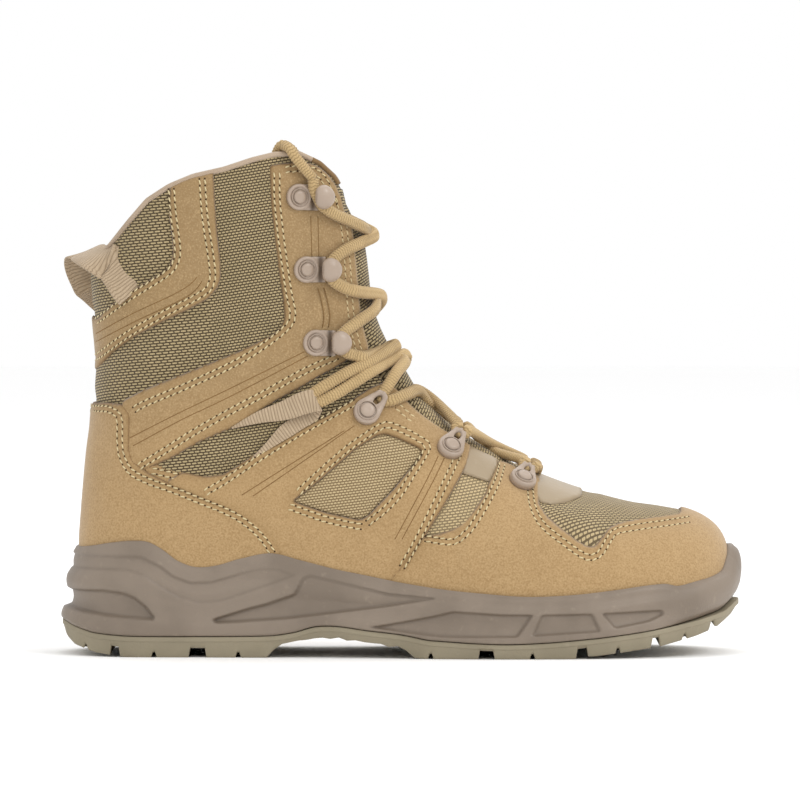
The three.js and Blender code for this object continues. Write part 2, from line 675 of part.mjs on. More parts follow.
/** The pull loop: an arch of webbing sewn to both sides of the back. */
function pullLoop() {
  const base = new THREE.Vector3(alongSole(0.083), 0, onLast(1.34));
  const rise = new THREE.Vector3(-0.45, 0, 0.89).normalize();
  const wide = new THREE.Vector3(-0.89, 0, -0.45).normalize();
  const steps = 8;
  const rings = [];
  for (let i = 0; i <= steps; i += 1) {
    const turn = (i / steps) * Math.PI;
    const place = (radius, height) => base.clone()
      .addScaledVector(rise, height * Math.sin(turn))
      .setY(-radius * Math.cos(turn));
    const inner = place(LOOP_SPREAD, LOOP_RISE);
    const outer = place(LOOP_SPREAD + WEBBING, LOOP_RISE + WEBBING);
    const edge = (point, way) => point.clone().addScaledVector(wide, way * LOOP_WIDTH / 2);
    rings.push([edge(inner, -1), edge(inner, 1), edge(outer, 1), edge(outer, -1)]);
  }
  const arch = loft(rings);
  const patch = trimShell.intersect(prism(lastOutline(LOOP_PATCH)));
  const above = beyond(lastOutline(COLLAR), true).translate([0, 0, GAP]);
  return arch.add(patch).subtract(form(GAP + OVERLAY + GAP).subtract(above));
}

/** Turns a piece made flat on XY so that it sits on the skin and points along the side view. */
function seated(piece, place, side, lift) {
  const spot = findOnSkin(place.x, place.z, side);
  const toward = findOnSkin(place.towardX, place.towardZ, side);
  const up = outward(spot.place, spot.angle);
  const origin = over(spot.place, spot.angle, lift);
  const forward = over(toward.place, toward.angle, lift).sub(origin);
  forward.addScaledVector(up, -forward.dot(up)).normalize();
  const across = up.clone().cross(forward);
  const turn = new THREE.Matrix4().makeBasis(forward, across, up).setPosition(origin);
  return piece.transform(turn.elements);
}

/** A disc or post standing on XY. */
function post(radius, height, x, z, sides) {
  const geometry = new THREE.CylinderGeometry(radius, radius, height, sides);
  geometry.rotateX(Math.PI / 2);
  geometry.translate(x, 0, z + height / 2);
  return solid(geometry);
}

/** A flattened ball. */
function dome(radius, flatness, x, z) {
  const geometry = new THREE.SphereGeometry(radius, 8, 4);
  geometry.scale(1, 1, flatness);
  geometry.translate(x, 0, z);
  return solid(geometry);
}

/** A speed hook: base, rivet, neck and ball. */
function hook() {
  const neck = new THREE.BoxGeometry(HOOK_REACH - 1, HOOK_BALL, PLATE);
  neck.translate((HOOK_REACH - 1) / 2, 0, PLATE / 2);
  return post(HOOK_BASE, PLATE, 0, 0, 10)
    .add(dome(RIVET, 0.35, 0, PLATE))
    .add(solid(neck))
    .add(post(HOOK_BALL * 0.42, HOOK_RISE, HOOK_REACH - 2.4, 0, 6))
    .add(dome(HOOK_BALL, 0.55, HOOK_REACH, HOOK_RISE));
}

/** A riveted lace eyelet: a teardrop with a slot. */
function eyelet() {
  const shape = new THREE.Shape();
  shape.absarc(0, 0, EYELET_RADIUS, 0.9, 2 * Math.PI - 0.9, false);
  shape.absarc(EYELET_REACH, 0, EYELET_TIP, -1.1, 1.1, false);
  const slot = new THREE.Path();
  slot.absarc(EYELET_REACH, 0, EYELET_TIP - 1.5, -Math.PI / 2, Math.PI / 2, false);
  slot.absarc(EYELET_REACH - 1.6, 0, EYELET_TIP - 1.5, Math.PI / 2, 1.5 * Math.PI, false);
  shape.holes.push(slot);
  const flat = { depth: EYELET_THICKNESS, bevelEnabled: false, curveSegments: 3 };
  return solid(new THREE.ExtrudeGeometry(shape, flat)).add(dome(RIVET, 0.35, 0, EYELET_THICKNESS));
}

/** A round lace along a route. */
function lace(points, steps) {
  const sides = 8;
  const shape = new THREE.Shape();
  for (let i = 0; i < sides; i += 1) {
    const turn = (i / sides) * 2 * Math.PI;
    const x = Math.cos(turn) * LACE / 2;
    const y = Math.sin(turn) * LACE / 2;
    if (i === 0) shape.moveTo(x, y);
    else shape.lineTo(x, y);
  }
  const route = new THREE.CatmullRomCurve3(points, false, 'centripetal');
  return solid(new THREE.ExtrudeGeometry(shape, { steps, extrudePath: route, bevelEnabled: false }));
}

/** Where a crossing ends: past the tip of a hook or eyelet, moved along the throat. */
function laceStart({ place, reach }, shift, side) {
  const from = findOnSkin(place.x, place.z, side);
  const aim = findOnSkin(place.towardX, place.towardZ, side);
  const step = reach / skin(from.place, from.angle).distanceTo(skin(aim.place, aim.angle));
  const start = {
    place: THREE.MathUtils.lerp(from.place, aim.place, step),
    angle: THREE.MathUtils.lerp(from.angle, aim.angle, step),
  };
  const pace = skin(start.place + 0.5, start.angle).distanceTo(skin(start.place - 0.5, start.angle));
  return { place: start.place + shift / pace, angle: start.angle };
}

/** A strand over the throat from one side to the other. */
function strand(from, to) {
  const resting = GAP + OVERLAY + GAP + LACE / 2;
  const points = [0, 0.25, 0.5, 0.75, 1].map((t) => {
    const place = THREE.MathUtils.lerp(from.place, to.place, t);
    const angle = THREE.MathUtils.lerp(from.angle, to.angle, t);
    return over(place, angle, t === 0.5 ? resting - LACE_SAG : resting);
  });
  return lace(points, points.length - 1);
}

/** Every row of hardware with how far its tip reaches, from the top down. */
const laceRows = [
  ...HOOKS.map((place) => ({ place, reach: HOOK_REACH + HOOK_BALL + LACE / 2 - LACE_TUCK })),
  ...EYELETS.map((place) => ({ place, reach: EYELET_REACH + EYELET_TIP + LACE / 2 - LACE_TUCK })),
];

/** The two strands that cross between a row and the next one. */
function crossing(index) {
  const spread = LACE / 2 + GAP;
  const above = (side) => laceStart(laceRows[index], -spread, side);
  const below = (side) => laceStart(laceRows[index + 1], spread, side);
  return strand(above(-1), below(1)).add(strand(below(-1), above(1)));
}

/** The straight strand of the lowest row. */
function toeBar() {
  const row = laceRows[laceRows.length - 1];
  const shift = -LACE / 2 - GAP;
  return strand(laceStart(row, shift, -1), laceStart(row, shift, 1));
}

/** A tucked end, from the top hook over the collar. */
function laceEnd(side) {
  const points = LACE_END.map((row) => {
    const spot = findOnSkin(row.x, row.z, side);
    return over(spot.place, spot.angle, row.lift);
  });
  return lace(points, 10);
}

const boot = new THREE.Group();

/** Adds a solid to the boot as a named mesh. */
function add(name, body, colour, roughness, metalness = 0) {
  const { vertProperties, triVerts } = body.getMesh();
  const geometry = new THREE.BufferGeometry();
  geometry.setAttribute('position', new THREE.BufferAttribute(vertProperties, 3));
  geometry.setIndex(new THREE.BufferAttribute(triVerts, 1));
  const material = new THREE.MeshStandardMaterial({ color: colour, roughness, metalness });
  const mesh = new THREE.Mesh(geometry, material);
  mesh.name = name;
  boot.add(mesh);
}

add('outsole', outsole(), COLOURS.outsole, 0.8);
add('midsole', midsole(), COLOURS.midsole, 0.7);
add('insole', insole(), COLOURS.lining, 0.9);
add('upper', upper(), COLOURS.mesh, 0.9);
add('tongue', tongue(), COLOURS.mesh, 0.9);
add('heel_counter', heelCounter(), COLOURS.suede, 0.9);
add('rear_strap', overlay(STRAP_OUTLINE), COLOURS.suede, 0.9);
add('toe_rand', overlay(RAND_OUTLINE), COLOURS.suede, 0.9);
add('pull_loop', pullLoop(), COLOURS.webbing, 0.9);

const SIDES = [
  { name: 'lateral', side: -1 },
  { name: 'medial', side: 1 },
];
for (const { name, side } of SIDES) {
  add(`eyestay_${name}`, overlay(EYESTAY_OUTLINE, side), COLOURS.suede, 0.9);
  add(`quarter_${name}`, quarter(side), COLOURS.suede, 0.9);
  add(`keeper_${name}`, keeper(side), COLOURS.webbing, 0.9);
  const onOverlay = GAP + OVERLAY + GAP;
  HOOKS.forEach((place, i) => {
    add(`hook_${name}_${i + 1}`, seated(hook(), place, side, onOverlay), COLOURS.hardware, 0.5);
  });
  EYELETS.forEach((place, i) => {
    add(`eyelet_${name}_${i + 1}`, seated(eyelet(), place, side, onOverlay), COLOURS.hardware, 0.5);
  });
  add(`lace_end_${name}`, laceEnd(side), COLOURS.lace, 0.9);
}
for (let i = 0; i + 1 < laceRows.length; i += 1) {
  add(`lace_crossing_${i + 1}`, crossing(i), COLOURS.lace, 0.9);
}
add('lace_toe_bar', toeBar(), COLOURS.lace, 0.9);

export default boot;
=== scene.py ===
"""Looks of a right tactical boot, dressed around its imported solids.

Lengths are in millimetres while a shape is worked out and in metres in every finished mesh.
X runs from heel to toe, +Y is the inner side of the foot and Z is up.
"""

import logging
import math
from dataclasses import dataclass, field
from enum import Enum
from typing import Callable, Sequence

import bmesh
import bpy
import numpy as np
from mathutils import Matrix, Vector


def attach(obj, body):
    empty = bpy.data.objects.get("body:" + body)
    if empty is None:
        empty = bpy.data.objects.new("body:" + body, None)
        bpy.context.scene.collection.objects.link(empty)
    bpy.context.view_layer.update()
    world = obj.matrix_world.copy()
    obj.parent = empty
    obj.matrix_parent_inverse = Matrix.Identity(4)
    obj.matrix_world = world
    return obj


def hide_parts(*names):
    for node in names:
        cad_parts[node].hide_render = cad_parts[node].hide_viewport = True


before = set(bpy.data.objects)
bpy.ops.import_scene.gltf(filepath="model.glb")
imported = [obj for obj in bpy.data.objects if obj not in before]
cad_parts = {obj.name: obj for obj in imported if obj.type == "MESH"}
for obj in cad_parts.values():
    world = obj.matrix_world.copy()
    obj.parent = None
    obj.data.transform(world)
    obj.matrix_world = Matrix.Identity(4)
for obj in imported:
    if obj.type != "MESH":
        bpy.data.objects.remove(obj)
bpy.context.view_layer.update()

LOG = logging.getLogger("boot")
MM = 0.001
Array = np.ndarray
Point2 = tuple[float, float]
Point3 = tuple[float, float, float]
# Four numbers: a colour, a span or a place with its direction
Four = tuple[float, float, float, float]
Finish = bpy.types.Material
BMesh = bmesh.types.BMesh

# Millimetres to one column of the side picture, and where its zero lies
PICTURE_SCALE = 0.4472
PICTURE_COLUMN = 401.0
PICTURE_ROW = 652.5

# The light that a finish returns, as a share of its screen colour, under these lamps
FINISH_SHARE = 0.78

# Length under which a direction counts as none, and points measured in one go
TINY = 1e-9
BATCH = 6000


def seen(column: float, row: float) -> Point2:
    """Side view millimetres of a place in the side picture.

    Args:
        column: columns from the left.
        row: rows from the top.

    Returns:
        x along the boot and z over the ground.
    """
    return (column - PICTURE_COLUMN) * PICTURE_SCALE, (PICTURE_ROW - row) * PICTURE_SCALE


class Side(Enum):
    """The two sides of the boot, with the sign of their Y."""

    LATERAL = -1
    MEDIAL = 1

    def other(self) -> "Side":
        """The other side."""
        return Side(-self.value)


def lengths(line: Array) -> Array:
    """Lengths from the start of a line to each of its points."""
    return np.concatenate([[0], np.cumsum(np.linalg.norm(np.diff(line, axis=0), axis=1))])


def unit(ways: Array) -> Array:
    """Directions made one long."""
    return ways / np.maximum(np.linalg.norm(ways, axis=-1, keepdims=True), TINY)


def joined(runs: Sequence[Sequence[Array]]) -> tuple[Array, ...]:
    """Runs of points and normals, each joined end to end."""
    return tuple(np.concatenate(parts) for parts in zip(*runs))


def ease(share: Array) -> Array:
    """A smooth step of a share of 0 to 1."""
    return share**2 * (3 - 2 * share)


class Table:
    """Rows with named columns, read smoothly between the rows."""

    def __init__(self, columns: str, rows: Sequence[Sequence[float]]) -> None:
        """Keeps the columns as arrays.

        Args:
            columns: names with spaces between them.
            rows: one value for each name.
        """
        self.data = {n: np.array(c, float) for n, c in zip(columns.split(), zip(*rows))}

    def smooth(self, name: str, place: Array) -> Array:
        """A column at fractional rows.

        Args:
            name: column.
            place: fractional rows.

        Returns:
            The values there.
        """
        v = self.data[name]
        last = len(v) - 1
        place = np.asarray(place, float)
        at = np.clip(np.floor(place).astype(int), 0, last - 1)
        t = place - at
        a, b, c, d = (v[np.clip(at + k, 0, last)] for k in (-1, 0, 1, 2))
        curve = (c - a) * t + (2 * a - 5 * b + 4 * c - d) * t**2 + (3 * b - a - 3 * c + d) * t**3
        return b + 0.5 * curve

    def place(self, name: str, value: Array) -> Array:
        """The fractional row at which a rising column reaches a value."""
        v = self.data[name]
        return np.interp(value, v, np.arange(len(v)))

    def straight(self, name: str, key: str, value: Array) -> Array:
        """A column read straight between the rows of a rising key column."""
        return np.interp(value, self.data[key], self.data[name])


LAST_LINES = Table(
    "frontX frontZ backX backZ girth widest backPower frontPower",
    [
        (0.978, 0.32, 0.978, 0.32, 1, 0.5, 2.2, 2.2),
        (0.971, 0.4, 0.972, 0.24, 1, 0.45, 2.4, 2.2),
        (0.954, 0.455, 0.956, 0.17, 1, 0.4, 2.8, 2.2),
        (0.924, 0.495, 0.922, 0.115, 1, 0.36, 3.2, 2.2),
        (0.88, 0.518, 0.875, 0.088, 1, 0.33, 3.6, 2.2),
        (0.82, 0.54, 0.815, 0.08, 1, 0.31, 4, 2.1),
        (0.75, 0.585, 0.745, 0.08, 1, 0.3, 4, 2.05),
        (0.677, 0.655, 0.67, 0.08, 1, 0.29, 4, 2),
        (0.617, 0.735, 0.6, 0.08, 1, 0.28, 4, 1.95),
        (0.566, 0.82, 0.515, 0.08, 1, 0.28, 3.6, 1.9),
        (0.53, 0.91, 0.41, 0.08, 1, 0.3, 3.2, 1.9),
        (0.507, 0.995, 0.295, 0.08, 1, 0.34, 3, 1.95),
        (0.492, 1.06, 0.18, 0.087, 1, 0.4, 2.8, 2),
        (0.481, 1.125, 0.092, 0.125, 1.02, 0.44, 2.7, 2.05),
        (0.473, 1.195, 0.047, 0.222, 1.03, 0.47, 2.6, 2.1),
        (0.467, 1.275, 0.036, 0.36, 1.03, 0.48, 2.5, 2.1),
        (0.463, 1.36, 0.039, 0.52, 1.02, 0.48, 2.4, 2.1),
        (0.46, 1.45, 0.046, 0.7, 1.02, 0.48, 2.3, 2.1),
        (0.456, 1.55, 0.054, 0.88, 1.03, 0.48, 2.3, 2.1),
        (0.45, 1.66, 0.057, 1.06, 1.06, 0.48, 2.2, 2.1),
        (0.443, 1.77, 0.052, 1.25, 1.09, 0.48, 2.2, 2.1),
        (0.433, 1.88, 0.048, 1.44, 1.12, 0.48, 2.2, 2.1),
        (0.422, 1.99, 0.045, 1.63, 1.14, 0.48, 2.2, 2.1),
        (0.413, 2.1, 0.042, 1.82, 1.15, 0.48, 2.2, 2.1),
        (0.406, 2.2, 0.04, 2, 1.16, 0.48, 2.2, 2.1),
    ],
)
FOOT_PLAN = Table(
    "x centre half",
    [
        (0, 0, 0.345), (0.15, 0, 0.35), (0.3, -0.012, 0.362), (0.42, -0.025, 0.39),
        (0.52, -0.027, 0.43), (0.62, -0.015, 0.475), (0.7, 0, 0.49), (0.78, 0.012, 0.485),
        (0.86, 0.03, 0.465), (0.93, 0.042, 0.445), (1, 0.05, 0.42),
    ],
)


@dataclass(frozen=True)
class Last:
    """The shape that the boot is built on."""

    sole_length: float = 305.0
    ball_width: float = 102.0
    instep_height: float = 126.0
    shaft_height: float = 97.0
    toe_start: float = 0.78
    toe_power: float = 2.4
    end: int = 24

    def along(self, share: Array) -> Array:
        """X for a share of the sole length."""
        return (np.asarray(share) - 0.5) * self.sole_length

    def rise(self, share: Array) -> Array:
        """Height for a share of the instep height up to 1, then of the shaft height up to 2."""
        foot = np.minimum(share, 1.0) * self.instep_height
        return foot + np.maximum(np.subtract(share, 1.0), 0) * self.shaft_height

    def outline(self, corners: Sequence[Point2]) -> Array:
        """Corners drawn in shares of the last, in millimetres."""
        corners = np.array(corners, float)
        return np.stack([self.along(corners[:, 0]), self.rise(corners[:, 1])], 1)

    def plan(self, share: Array) -> tuple[Array, Array]:
        """Middle and half width of the foot at shares of its length.

        Args:
            share: shares of the length.

        Returns:
            The middle and the half width.
        """
        place = FOOT_PLAN.place("x", share)
        centre = FOOT_PLAN.smooth("centre", place) * self.ball_width
        return centre, FOOT_PLAN.smooth("half", place) * self.ball_width

    @staticmethod
    def rounded(share: Array, start: float, tip: float, power: float) -> Array:
        """How much a rounded end keeps of the full width: 1 at its start and 0 at its tip."""
        u = np.clip((np.asarray(share) - start) / (tip - start), 0, 1)
        return (1 - u**power) ** (1 / power)

    def section(self, place: Array) -> dict[str, Array]:
        """Ends, width and powers of the sections at fractional rows.

        Args:
            place: sections along the last.

        Returns:
            An array for each name.
        """
        read = {n: LAST_LINES.smooth(n, place) for n in LAST_LINES.data}
        x = read["backX"] + (read["frontX"] - read["backX"]) * read["widest"]
        centre, half = self.plan(x)
        toe = self.rounded(x, self.toe_start, LAST_LINES.data["frontX"][0], self.toe_power)
        return {
            "fx": self.along(read["frontX"]),
            "fz": self.rise(read["frontZ"]),
            "bx": self.along(read["backX"]),
            "bz": self.rise(read["backZ"]),
            "centre": centre,
            "half": half * toe * read["girth"],
            "widest": read["widest"],
            "back": read["backPower"],
            "front": read["frontPower"],
        }

    def skin(self, place: Array, angle: Array) -> Array:
        """Points of the skin.

        Args:
            place: fractional sections.
            angle: 0 at the back of a section, pi at its front, lateral side first.

        Returns:
            An array of points.
        """
        s = self.section(place)
        sine, cosine = np.sin(angle), np.cos(angle)
        behind = cosine >= 0
        power = 2 / np.where(behind, s["back"], s["front"])
        reach = np.abs(cosine) ** power
        w = s["widest"]
        h = np.where(behind, w * (1 - reach), w + (1 - w) * reach)
        side = np.where(sine < 0, 1, -1)
        y = s["centre"] + side * s["half"] * np.abs(sine) ** power
        return np.stack(
            [s["bx"] + (s["fx"] - s["bx"]) * h, y, s["bz"] + (s["fz"] - s["bz"]) * h], -1
        )

    def outward(self, place: Array, angle: Array) -> Array:
        """Outward directions of the skin.

        Args:
            place: sections along the last.
            angle: angles around the sections.

        Returns:
            The directions, one long.
        """
        step = 0.02
        place = np.maximum(place, step)
        ahead = np.minimum(place + step, self.end)
        along = self.skin(ahead, angle) - self.skin(place - step, angle)
        around = self.skin(place, angle + step) - self.skin(place, angle - step)
        return unit(np.cross(around, along))

    def over(self, place: Array, angle: Array, lift: Array) -> Array:
        """Points at a height over the skin."""
        place, angle = np.broadcast_arrays(np.asarray(place, float), np.asarray(angle, float))
        return self.skin(place, angle) + self.outward(place, angle) * np.asarray(lift)[..., None]

    def raised(self, line: Array, side: Side, lift: float) -> tuple[Array, Array]:
        """Sections and angles whose points at a height over the skin lie behind side view points.

        Args:
            line: x and z in millimetres.
            side: the side of the boot that is looked at.
            lift: height over the skin.

        Returns:
            The sections and the angles.
        """
        shown = self.over(*self.find(line, side), lift)[:, (0, 2)]
        return self.find(2 * line - shown, side)

    def find(self, points: Array, side: Side) -> tuple[Array, Array]:
        """Sections and angles of the skin that lie behind side view points.

        Args:
            points: x and z in millimetres.
            side: the side of the boot that is looked at.

        Returns:
            The sections and the angles.
        """
        x, z = np.moveaxis(np.asarray(points), -1, 0)
        low, high = np.full(x.shape, 1.0), np.full(x.shape, float(self.end))
        for _ in range(26):
            middle = (low + high) / 2
            s = self.section(middle)
            turn = (s["fx"] - s["bx"]) * (z - s["bz"]) - (s["fz"] - s["bz"]) * (x - s["bx"])
            low, high = np.where(turn > 0, middle, low), np.where(turn > 0, high, middle)
        s = self.section(low)
        rx, rz = s["fx"] - s["bx"], s["fz"] - s["bz"]
        h = np.clip(((x - s["bx"]) * rx + (z - s["bz"]) * rz) / (rx**2 + rz**2), 0, 1)
        w = s["widest"]
        back = np.arccos(np.clip(1 - h / w, 0, 1) ** (s["back"] / 2))
        front = np.arccos(-(np.clip((h - w) / (1 - w), 0, 1) ** (s["front"] / 2)))
        angle = np.where(h < w, back, front)
        return low, angle if side is Side.LATERAL else 2 * np.pi - angle


LAST = Last()


def tint(red: int, green: int, blue: int) -> Four:
    """A colour for a shader from its screen values of 0 to 255.

    Args:
        red: its red.
        green: its green.
        blue: its blue.

    Returns:
        The colour as light, with alpha.
    """

    def line(c: float) -> float:
        """One channel without its screen curve."""
        return FINISH_SHARE * (c / 12.92 if c <= 0.04045 else ((c + 0.055) / 1.055) ** 2.4)

    return line(red / 255), line(green / 255), line(blue / 255), 1.0


class Value:
    """A number in a shader, which adds Math nodes as it is used in an expression."""

    def __init__(self, shader: "Shader", socket: bpy.types.NodeSocket) -> None:
        """Keeps the shader and the socket that the number comes from."""
        self.shader = shader
        self.socket = socket

    def math(self, operation: str, *others: "Value | float") -> "Value":
        """The outcome of one Math node on this value and up to two more."""
        return self.shader.math(operation, self, *others)

    def __add__(self, other: "Value | float") -> "Value":
        """The sum."""
        return self.math("ADD", other)

    __radd__ = __add__

    def __mul__(self, other: "Value | float") -> "Value":
        """The product."""
        return self.math("MULTIPLY", other)

    __rmul__ = __mul__

    def __sub__(self, other: "Value | float") -> "Value":
        """The difference."""
        return self.math("SUBTRACT", other)

    def __rsub__(self, other: "Value | float") -> "Value":
        """The difference the other way round."""
        return self.shader.math("SUBTRACT", other, self)

    def __truediv__(self, other: "Value | float") -> "Value":
        """The quotient."""
        return self.math("DIVIDE", other)

    def floor(self) -> "Value":
        """The whole number below."""
        return self.math("FLOOR")

    def fract(self) -> "Value":
        """What is over the whole number below."""
        return self.math("FRACT")

    def abs(self) -> "Value":
        """The value without its sign."""
        return self.math("ABSOLUTE")

    def fade(self, low: float, high: float) -> "Value":
        """A smooth step from 0 at low to 1 at high.

        Args:
            low: value that gives 0.
            high: value that gives 1.

        Returns:
            The step.
        """
        node = self.shader.node(
            "ShaderNodeMapRange",
            {"interpolation_type": "SMOOTHSTEP"},
            {"Value": self, "From Min": low, "From Max": high},
        )
        return Value(self.shader, node.outputs[0])


class Shader:
    """A material with one Principled shader."""

    def __init__(self, name: str) -> None:
        """Makes an empty node tree with its shader and output.

        Args:
            name: the material's name.
        """
        self.material = bpy.data.materials.new(name)
        self.material.use_nodes = True
        self.tree = self.material.node_tree
        self.tree.nodes.clear()
        self.surface = self.node("ShaderNodeBsdfPrincipled")
        self.node("ShaderNodeOutputMaterial", None, {"Surface": self.surface.outputs[0]})

    def node(
        self,
        kind: str,
        settings: dict[str, object] | None = None,
        inputs: dict[str | int, object] | None = None,
    ) -> bpy.types.Node:
        """Adds a node.

        Args:
            kind: the node's type.
            settings: its own settings, set first.
            inputs: values or links of its sockets by name or number.

        Returns:
            The new node.
        """
        node = self.tree.nodes.new(kind)
        for key, value in (settings or {}).items():
            setattr(node, key, value)
        for key, value in (inputs or {}).items():
            self.put(node.inputs[key], value)
        return node

    def put(self, socket: bpy.types.NodeSocket, value: object) -> None:
        """Links or sets one socket.

        Args:
            socket: the socket.
            value: a value, or what is linked to it.
        """
        if isinstance(value, Value):
            value = value.socket
        if isinstance(value, bpy.types.NodeSocket):
            self.tree.links.new(value, socket)
        else:
            socket.default_value = value

    def math(self, operation: str, *values: Value | float) -> Value:
        """One Math node."""
        node = self.node("ShaderNodeMath", {"operation": operation}, dict(enumerate(values)))
        return Value(self, node.outputs[0])

    def where(self) -> bpy.types.NodeSocket:
        """Object coordinates."""
        return self.node("ShaderNodeTexCoord").outputs["Object"]

    def split(self, vector: object) -> list[Value]:
        """The three parts of a vector."""
        parts = self.node("ShaderNodeSeparateXYZ", None, {0: vector})
        return [Value(self, socket) for socket in parts.outputs]

    def lay(self) -> tuple[Value, Value]:
        """The two coordinates of the piece's own map, in millimetres."""
        parts = self.split(self.node("ShaderNodeUVMap", {"uv_map": "Lay"}).outputs[0])
        return parts[0], parts[1]

    def mark(self, name: str) -> Value:
        """An attribute of the piece."""
        node = self.node("ShaderNodeAttribute", {"attribute_name": name})
        return Value(self, node.outputs["Fac"])

    def noise(self, size: float, detail: float = 3.0, vector: object = None) -> Value:
        """Cloudy noise with blobs of a size in millimetres."""
        settings = {"Scale": 1 / (size * MM), "Detail": detail, "Vector": vector or self.where()}
        return Value(self, self.node("ShaderNodeTexNoise", None, settings).outputs[0])

    def mix(self, factor: object, low: object, high: object) -> bpy.types.NodeSocket:
        """A blend of two colours."""
        node = self.node("ShaderNodeMix", {"data_type": "RGBA"}, {0: factor, 6: low, 7: high})
        return node.outputs[2]

    def bump(self, height: Value, depth: float, below: object = None) -> bpy.types.NodeSocket:
        """A bumped normal.

        Args:
            height: the relief, about 0 to 1.
            depth: its full height in millimetres.
            below: a coarser bumped normal that it lies on.

        Returns:
            The normal.
        """
        inputs = {"Height": height, "Distance": depth * MM, "Strength": 1.0}
        if below is not None:
            inputs["Normal"] = below
        return self.node("ShaderNodeBump", None, inputs).outputs[0]

    def dress(self, **values: object) -> Finish:
        """Sets sockets of the shader, named with _ for a space.

        Args:
            values: values or links by socket.

        Returns:
            The material.
        """
        for key, value in values.items():
            self.put(self.surface.inputs[key.replace("_", " ")], value)
        return self.material


@dataclass(frozen=True)
class Suede:
    """Brushed split leather with a short nap, with painted shade near its edges."""

    name: str
    colour: Four = tint(192, 159, 113)
    shade: Four = tint(160, 128, 84)
    light: Four = tint(206, 174, 128)
    shaft: Four = tint(168, 140, 100)
    # Darker cut edge, with a painted edge shadow where one panel lies over the next
    edge: Four = tint(126, 96, 60)

    def build(self) -> Finish:
        """Makes the material.

        Returns:
            The material.
        """
        s = Shader(self.name)
        level = s.split(s.where())[2]
        broad = s.noise(34, 4)
        brushed = s.noise(6, 5)
        nap = s.noise(0.8, 5)
        colour = s.mix(broad.fade(0.35, 0.7) * 0.22, self.colour, self.shade)
        colour = s.mix((level + broad * 0.02).fade(0.078, 0.15), colour, self.shaft)
        colour = s.mix(brushed.fade(0.4, 0.75) * 0.16, colour, self.light)
        colour = s.mix(nap.fade(0.55, 0.3) * 0.6, colour, self.shade)
        colour = s.mix(nap.fade(0.5, 0.7) * 0.55, colour, self.light)
        rim = s.mark("rim")
        # Painted shade: darker within about 9 mm of a panel's edge, where it rolls down to its seam
        colour = s.mix((1 - rim.fade(0.0, 9.0)) * 0.3, colour, self.shade)
        # Dark line at the very edge: the darker cut edge with a painted edge shadow
        colour = s.mix((1 - rim.fade(0.1, 1.1)) * 0.7, colour, self.edge)
        rough = nap * 0.12 + 0.84
        coarse = s.bump(brushed, 0.25)
        return s.dress(
            Base_Color=colour,
            Roughness=rough,
            Normal=s.bump(nap, 0.16, coarse),
            Specular_IOR_Level=0.2,
            Sheen_Weight=0.25,
            Sheen_Roughness=0.5,
        )


@dataclass(frozen=True)
class Mesh:
    """Woven air mesh: fat threads in a brick pattern with dark gaps."""

    name: str
    thread: Four = tint(188, 168, 124)
    gap: Four = tint(80, 65, 42)
    pale: Four = tint(226, 200, 152)
    pitch: float = 2.05
    row: float = 1.24
    depth: float = 0.34

    def build(self) -> Finish:
        """Makes the material.

        Returns:
            The material.
        """
        s = Shader(self.name)
        u, v = s.lay()
        rows = v / self.row
        odd = (rows.floor() * 0.5).fract()
        across = ((u / self.pitch) + odd).fract() - 0.5
        down = rows.fract() - 0.5
        wide, tall = across * across * 5.2, down * down * 9.6
        thread = 1 - (wide * wide + tall * tall).fade(0.35, 1.3)
        twist = ((u * 2.1 + v * 1.3) * 3.0).math("SINE") * 0.5 + 0.5
        tone = s.noise(9, 3)
        front = s.mark("pale")
        colour = s.mix(tone.fade(0.3, 0.75) * 0.3 + front * 0.7, self.thread, self.pale)
        colour = s.mix(twist * 0.14, colour, self.gap)
        colour = s.mix(thread, s.mix(front * 0.3, self.gap, self.pale), colour)
        fibre = s.noise(0.3, 2)
        height = thread * 0.85 + fibre * 0.15
        return s.dress(
            Base_Color=colour,
            Roughness=0.72 + 0.2 * (1 - thread),
            Normal=s.bump(height, self.depth),
            Specular_IOR_Level=0.35,
            Sheen_Weight=0.15,
        )


@dataclass(frozen=True)
class Moulded:
    """Moulded foam or rubber with a fine grain, and painted shade where a piece marks it."""

    name: str
    colour: Four
    shade: Four
    rough: float = 0.5
    grain: float = 0.8
    # Colour and share of the painted shade in recesses, necks, slots and rivet rings
    painted_shade_colour: Four = tint(108, 94, 79)
    painted_shade_share: float = 0.5

    def build(self) -> Finish:
        """Makes the material.

        Returns:
            The material.
        """
        s = Shader(self.name)
        grain = s.noise(self.grain, 3)
        cloud = s.noise(26, 3)
        dust = s.noise(4, 5)
        colour = s.mix(cloud.fade(0.35, 0.7) * 0.4, self.colour, self.shade)
        colour = s.mix(dust.fade(0.6, 0.8) * 0.2, colour, tint(196, 182, 160))
        # Painted shade: darker where the piece's mark says shade falls
        colour = s.mix(s.mark("groove").fade(0.0, 1.0) * self.painted_shade_share, colour, self.painted_shade_colour)
        return s.dress(
            Base_Color=colour,
            Roughness=self.rough + 0.14 * (dust - 0.5),
            Normal=s.bump(grain, 0.09),
            Specular_IOR_Level=0.5,
        )


@dataclass(frozen=True)
class Cloth:
    """Plain woven lining or binding."""

    name: str
    colour: Four
    shade: Four
    pitch: float = 0.9

    def build(self) -> Finish:
        """Makes the material.

        Returns:
            The material.
        """
        s = Shader(self.name)
        u, v = s.lay()
        turn = 2 * math.pi / self.pitch
        weave = (u * turn).math("SINE") * (v * turn).math("SINE")
        cloud = s.noise(12, 4)
        colour = s.mix((weave * 0.5 + 0.5) * 0.45, self.colour, self.shade)
        colour = s.mix(cloud.fade(0.4, 0.7) * 0.4, colour, self.shade)
        return s.dress(
            Base_Color=colour,
            Roughness=0.9,
            Normal=s.bump(weave * 0.5 + 0.5, 0.15),
            Specular_IOR_Level=0.25,
            Sheen_Weight=0.2,
        )


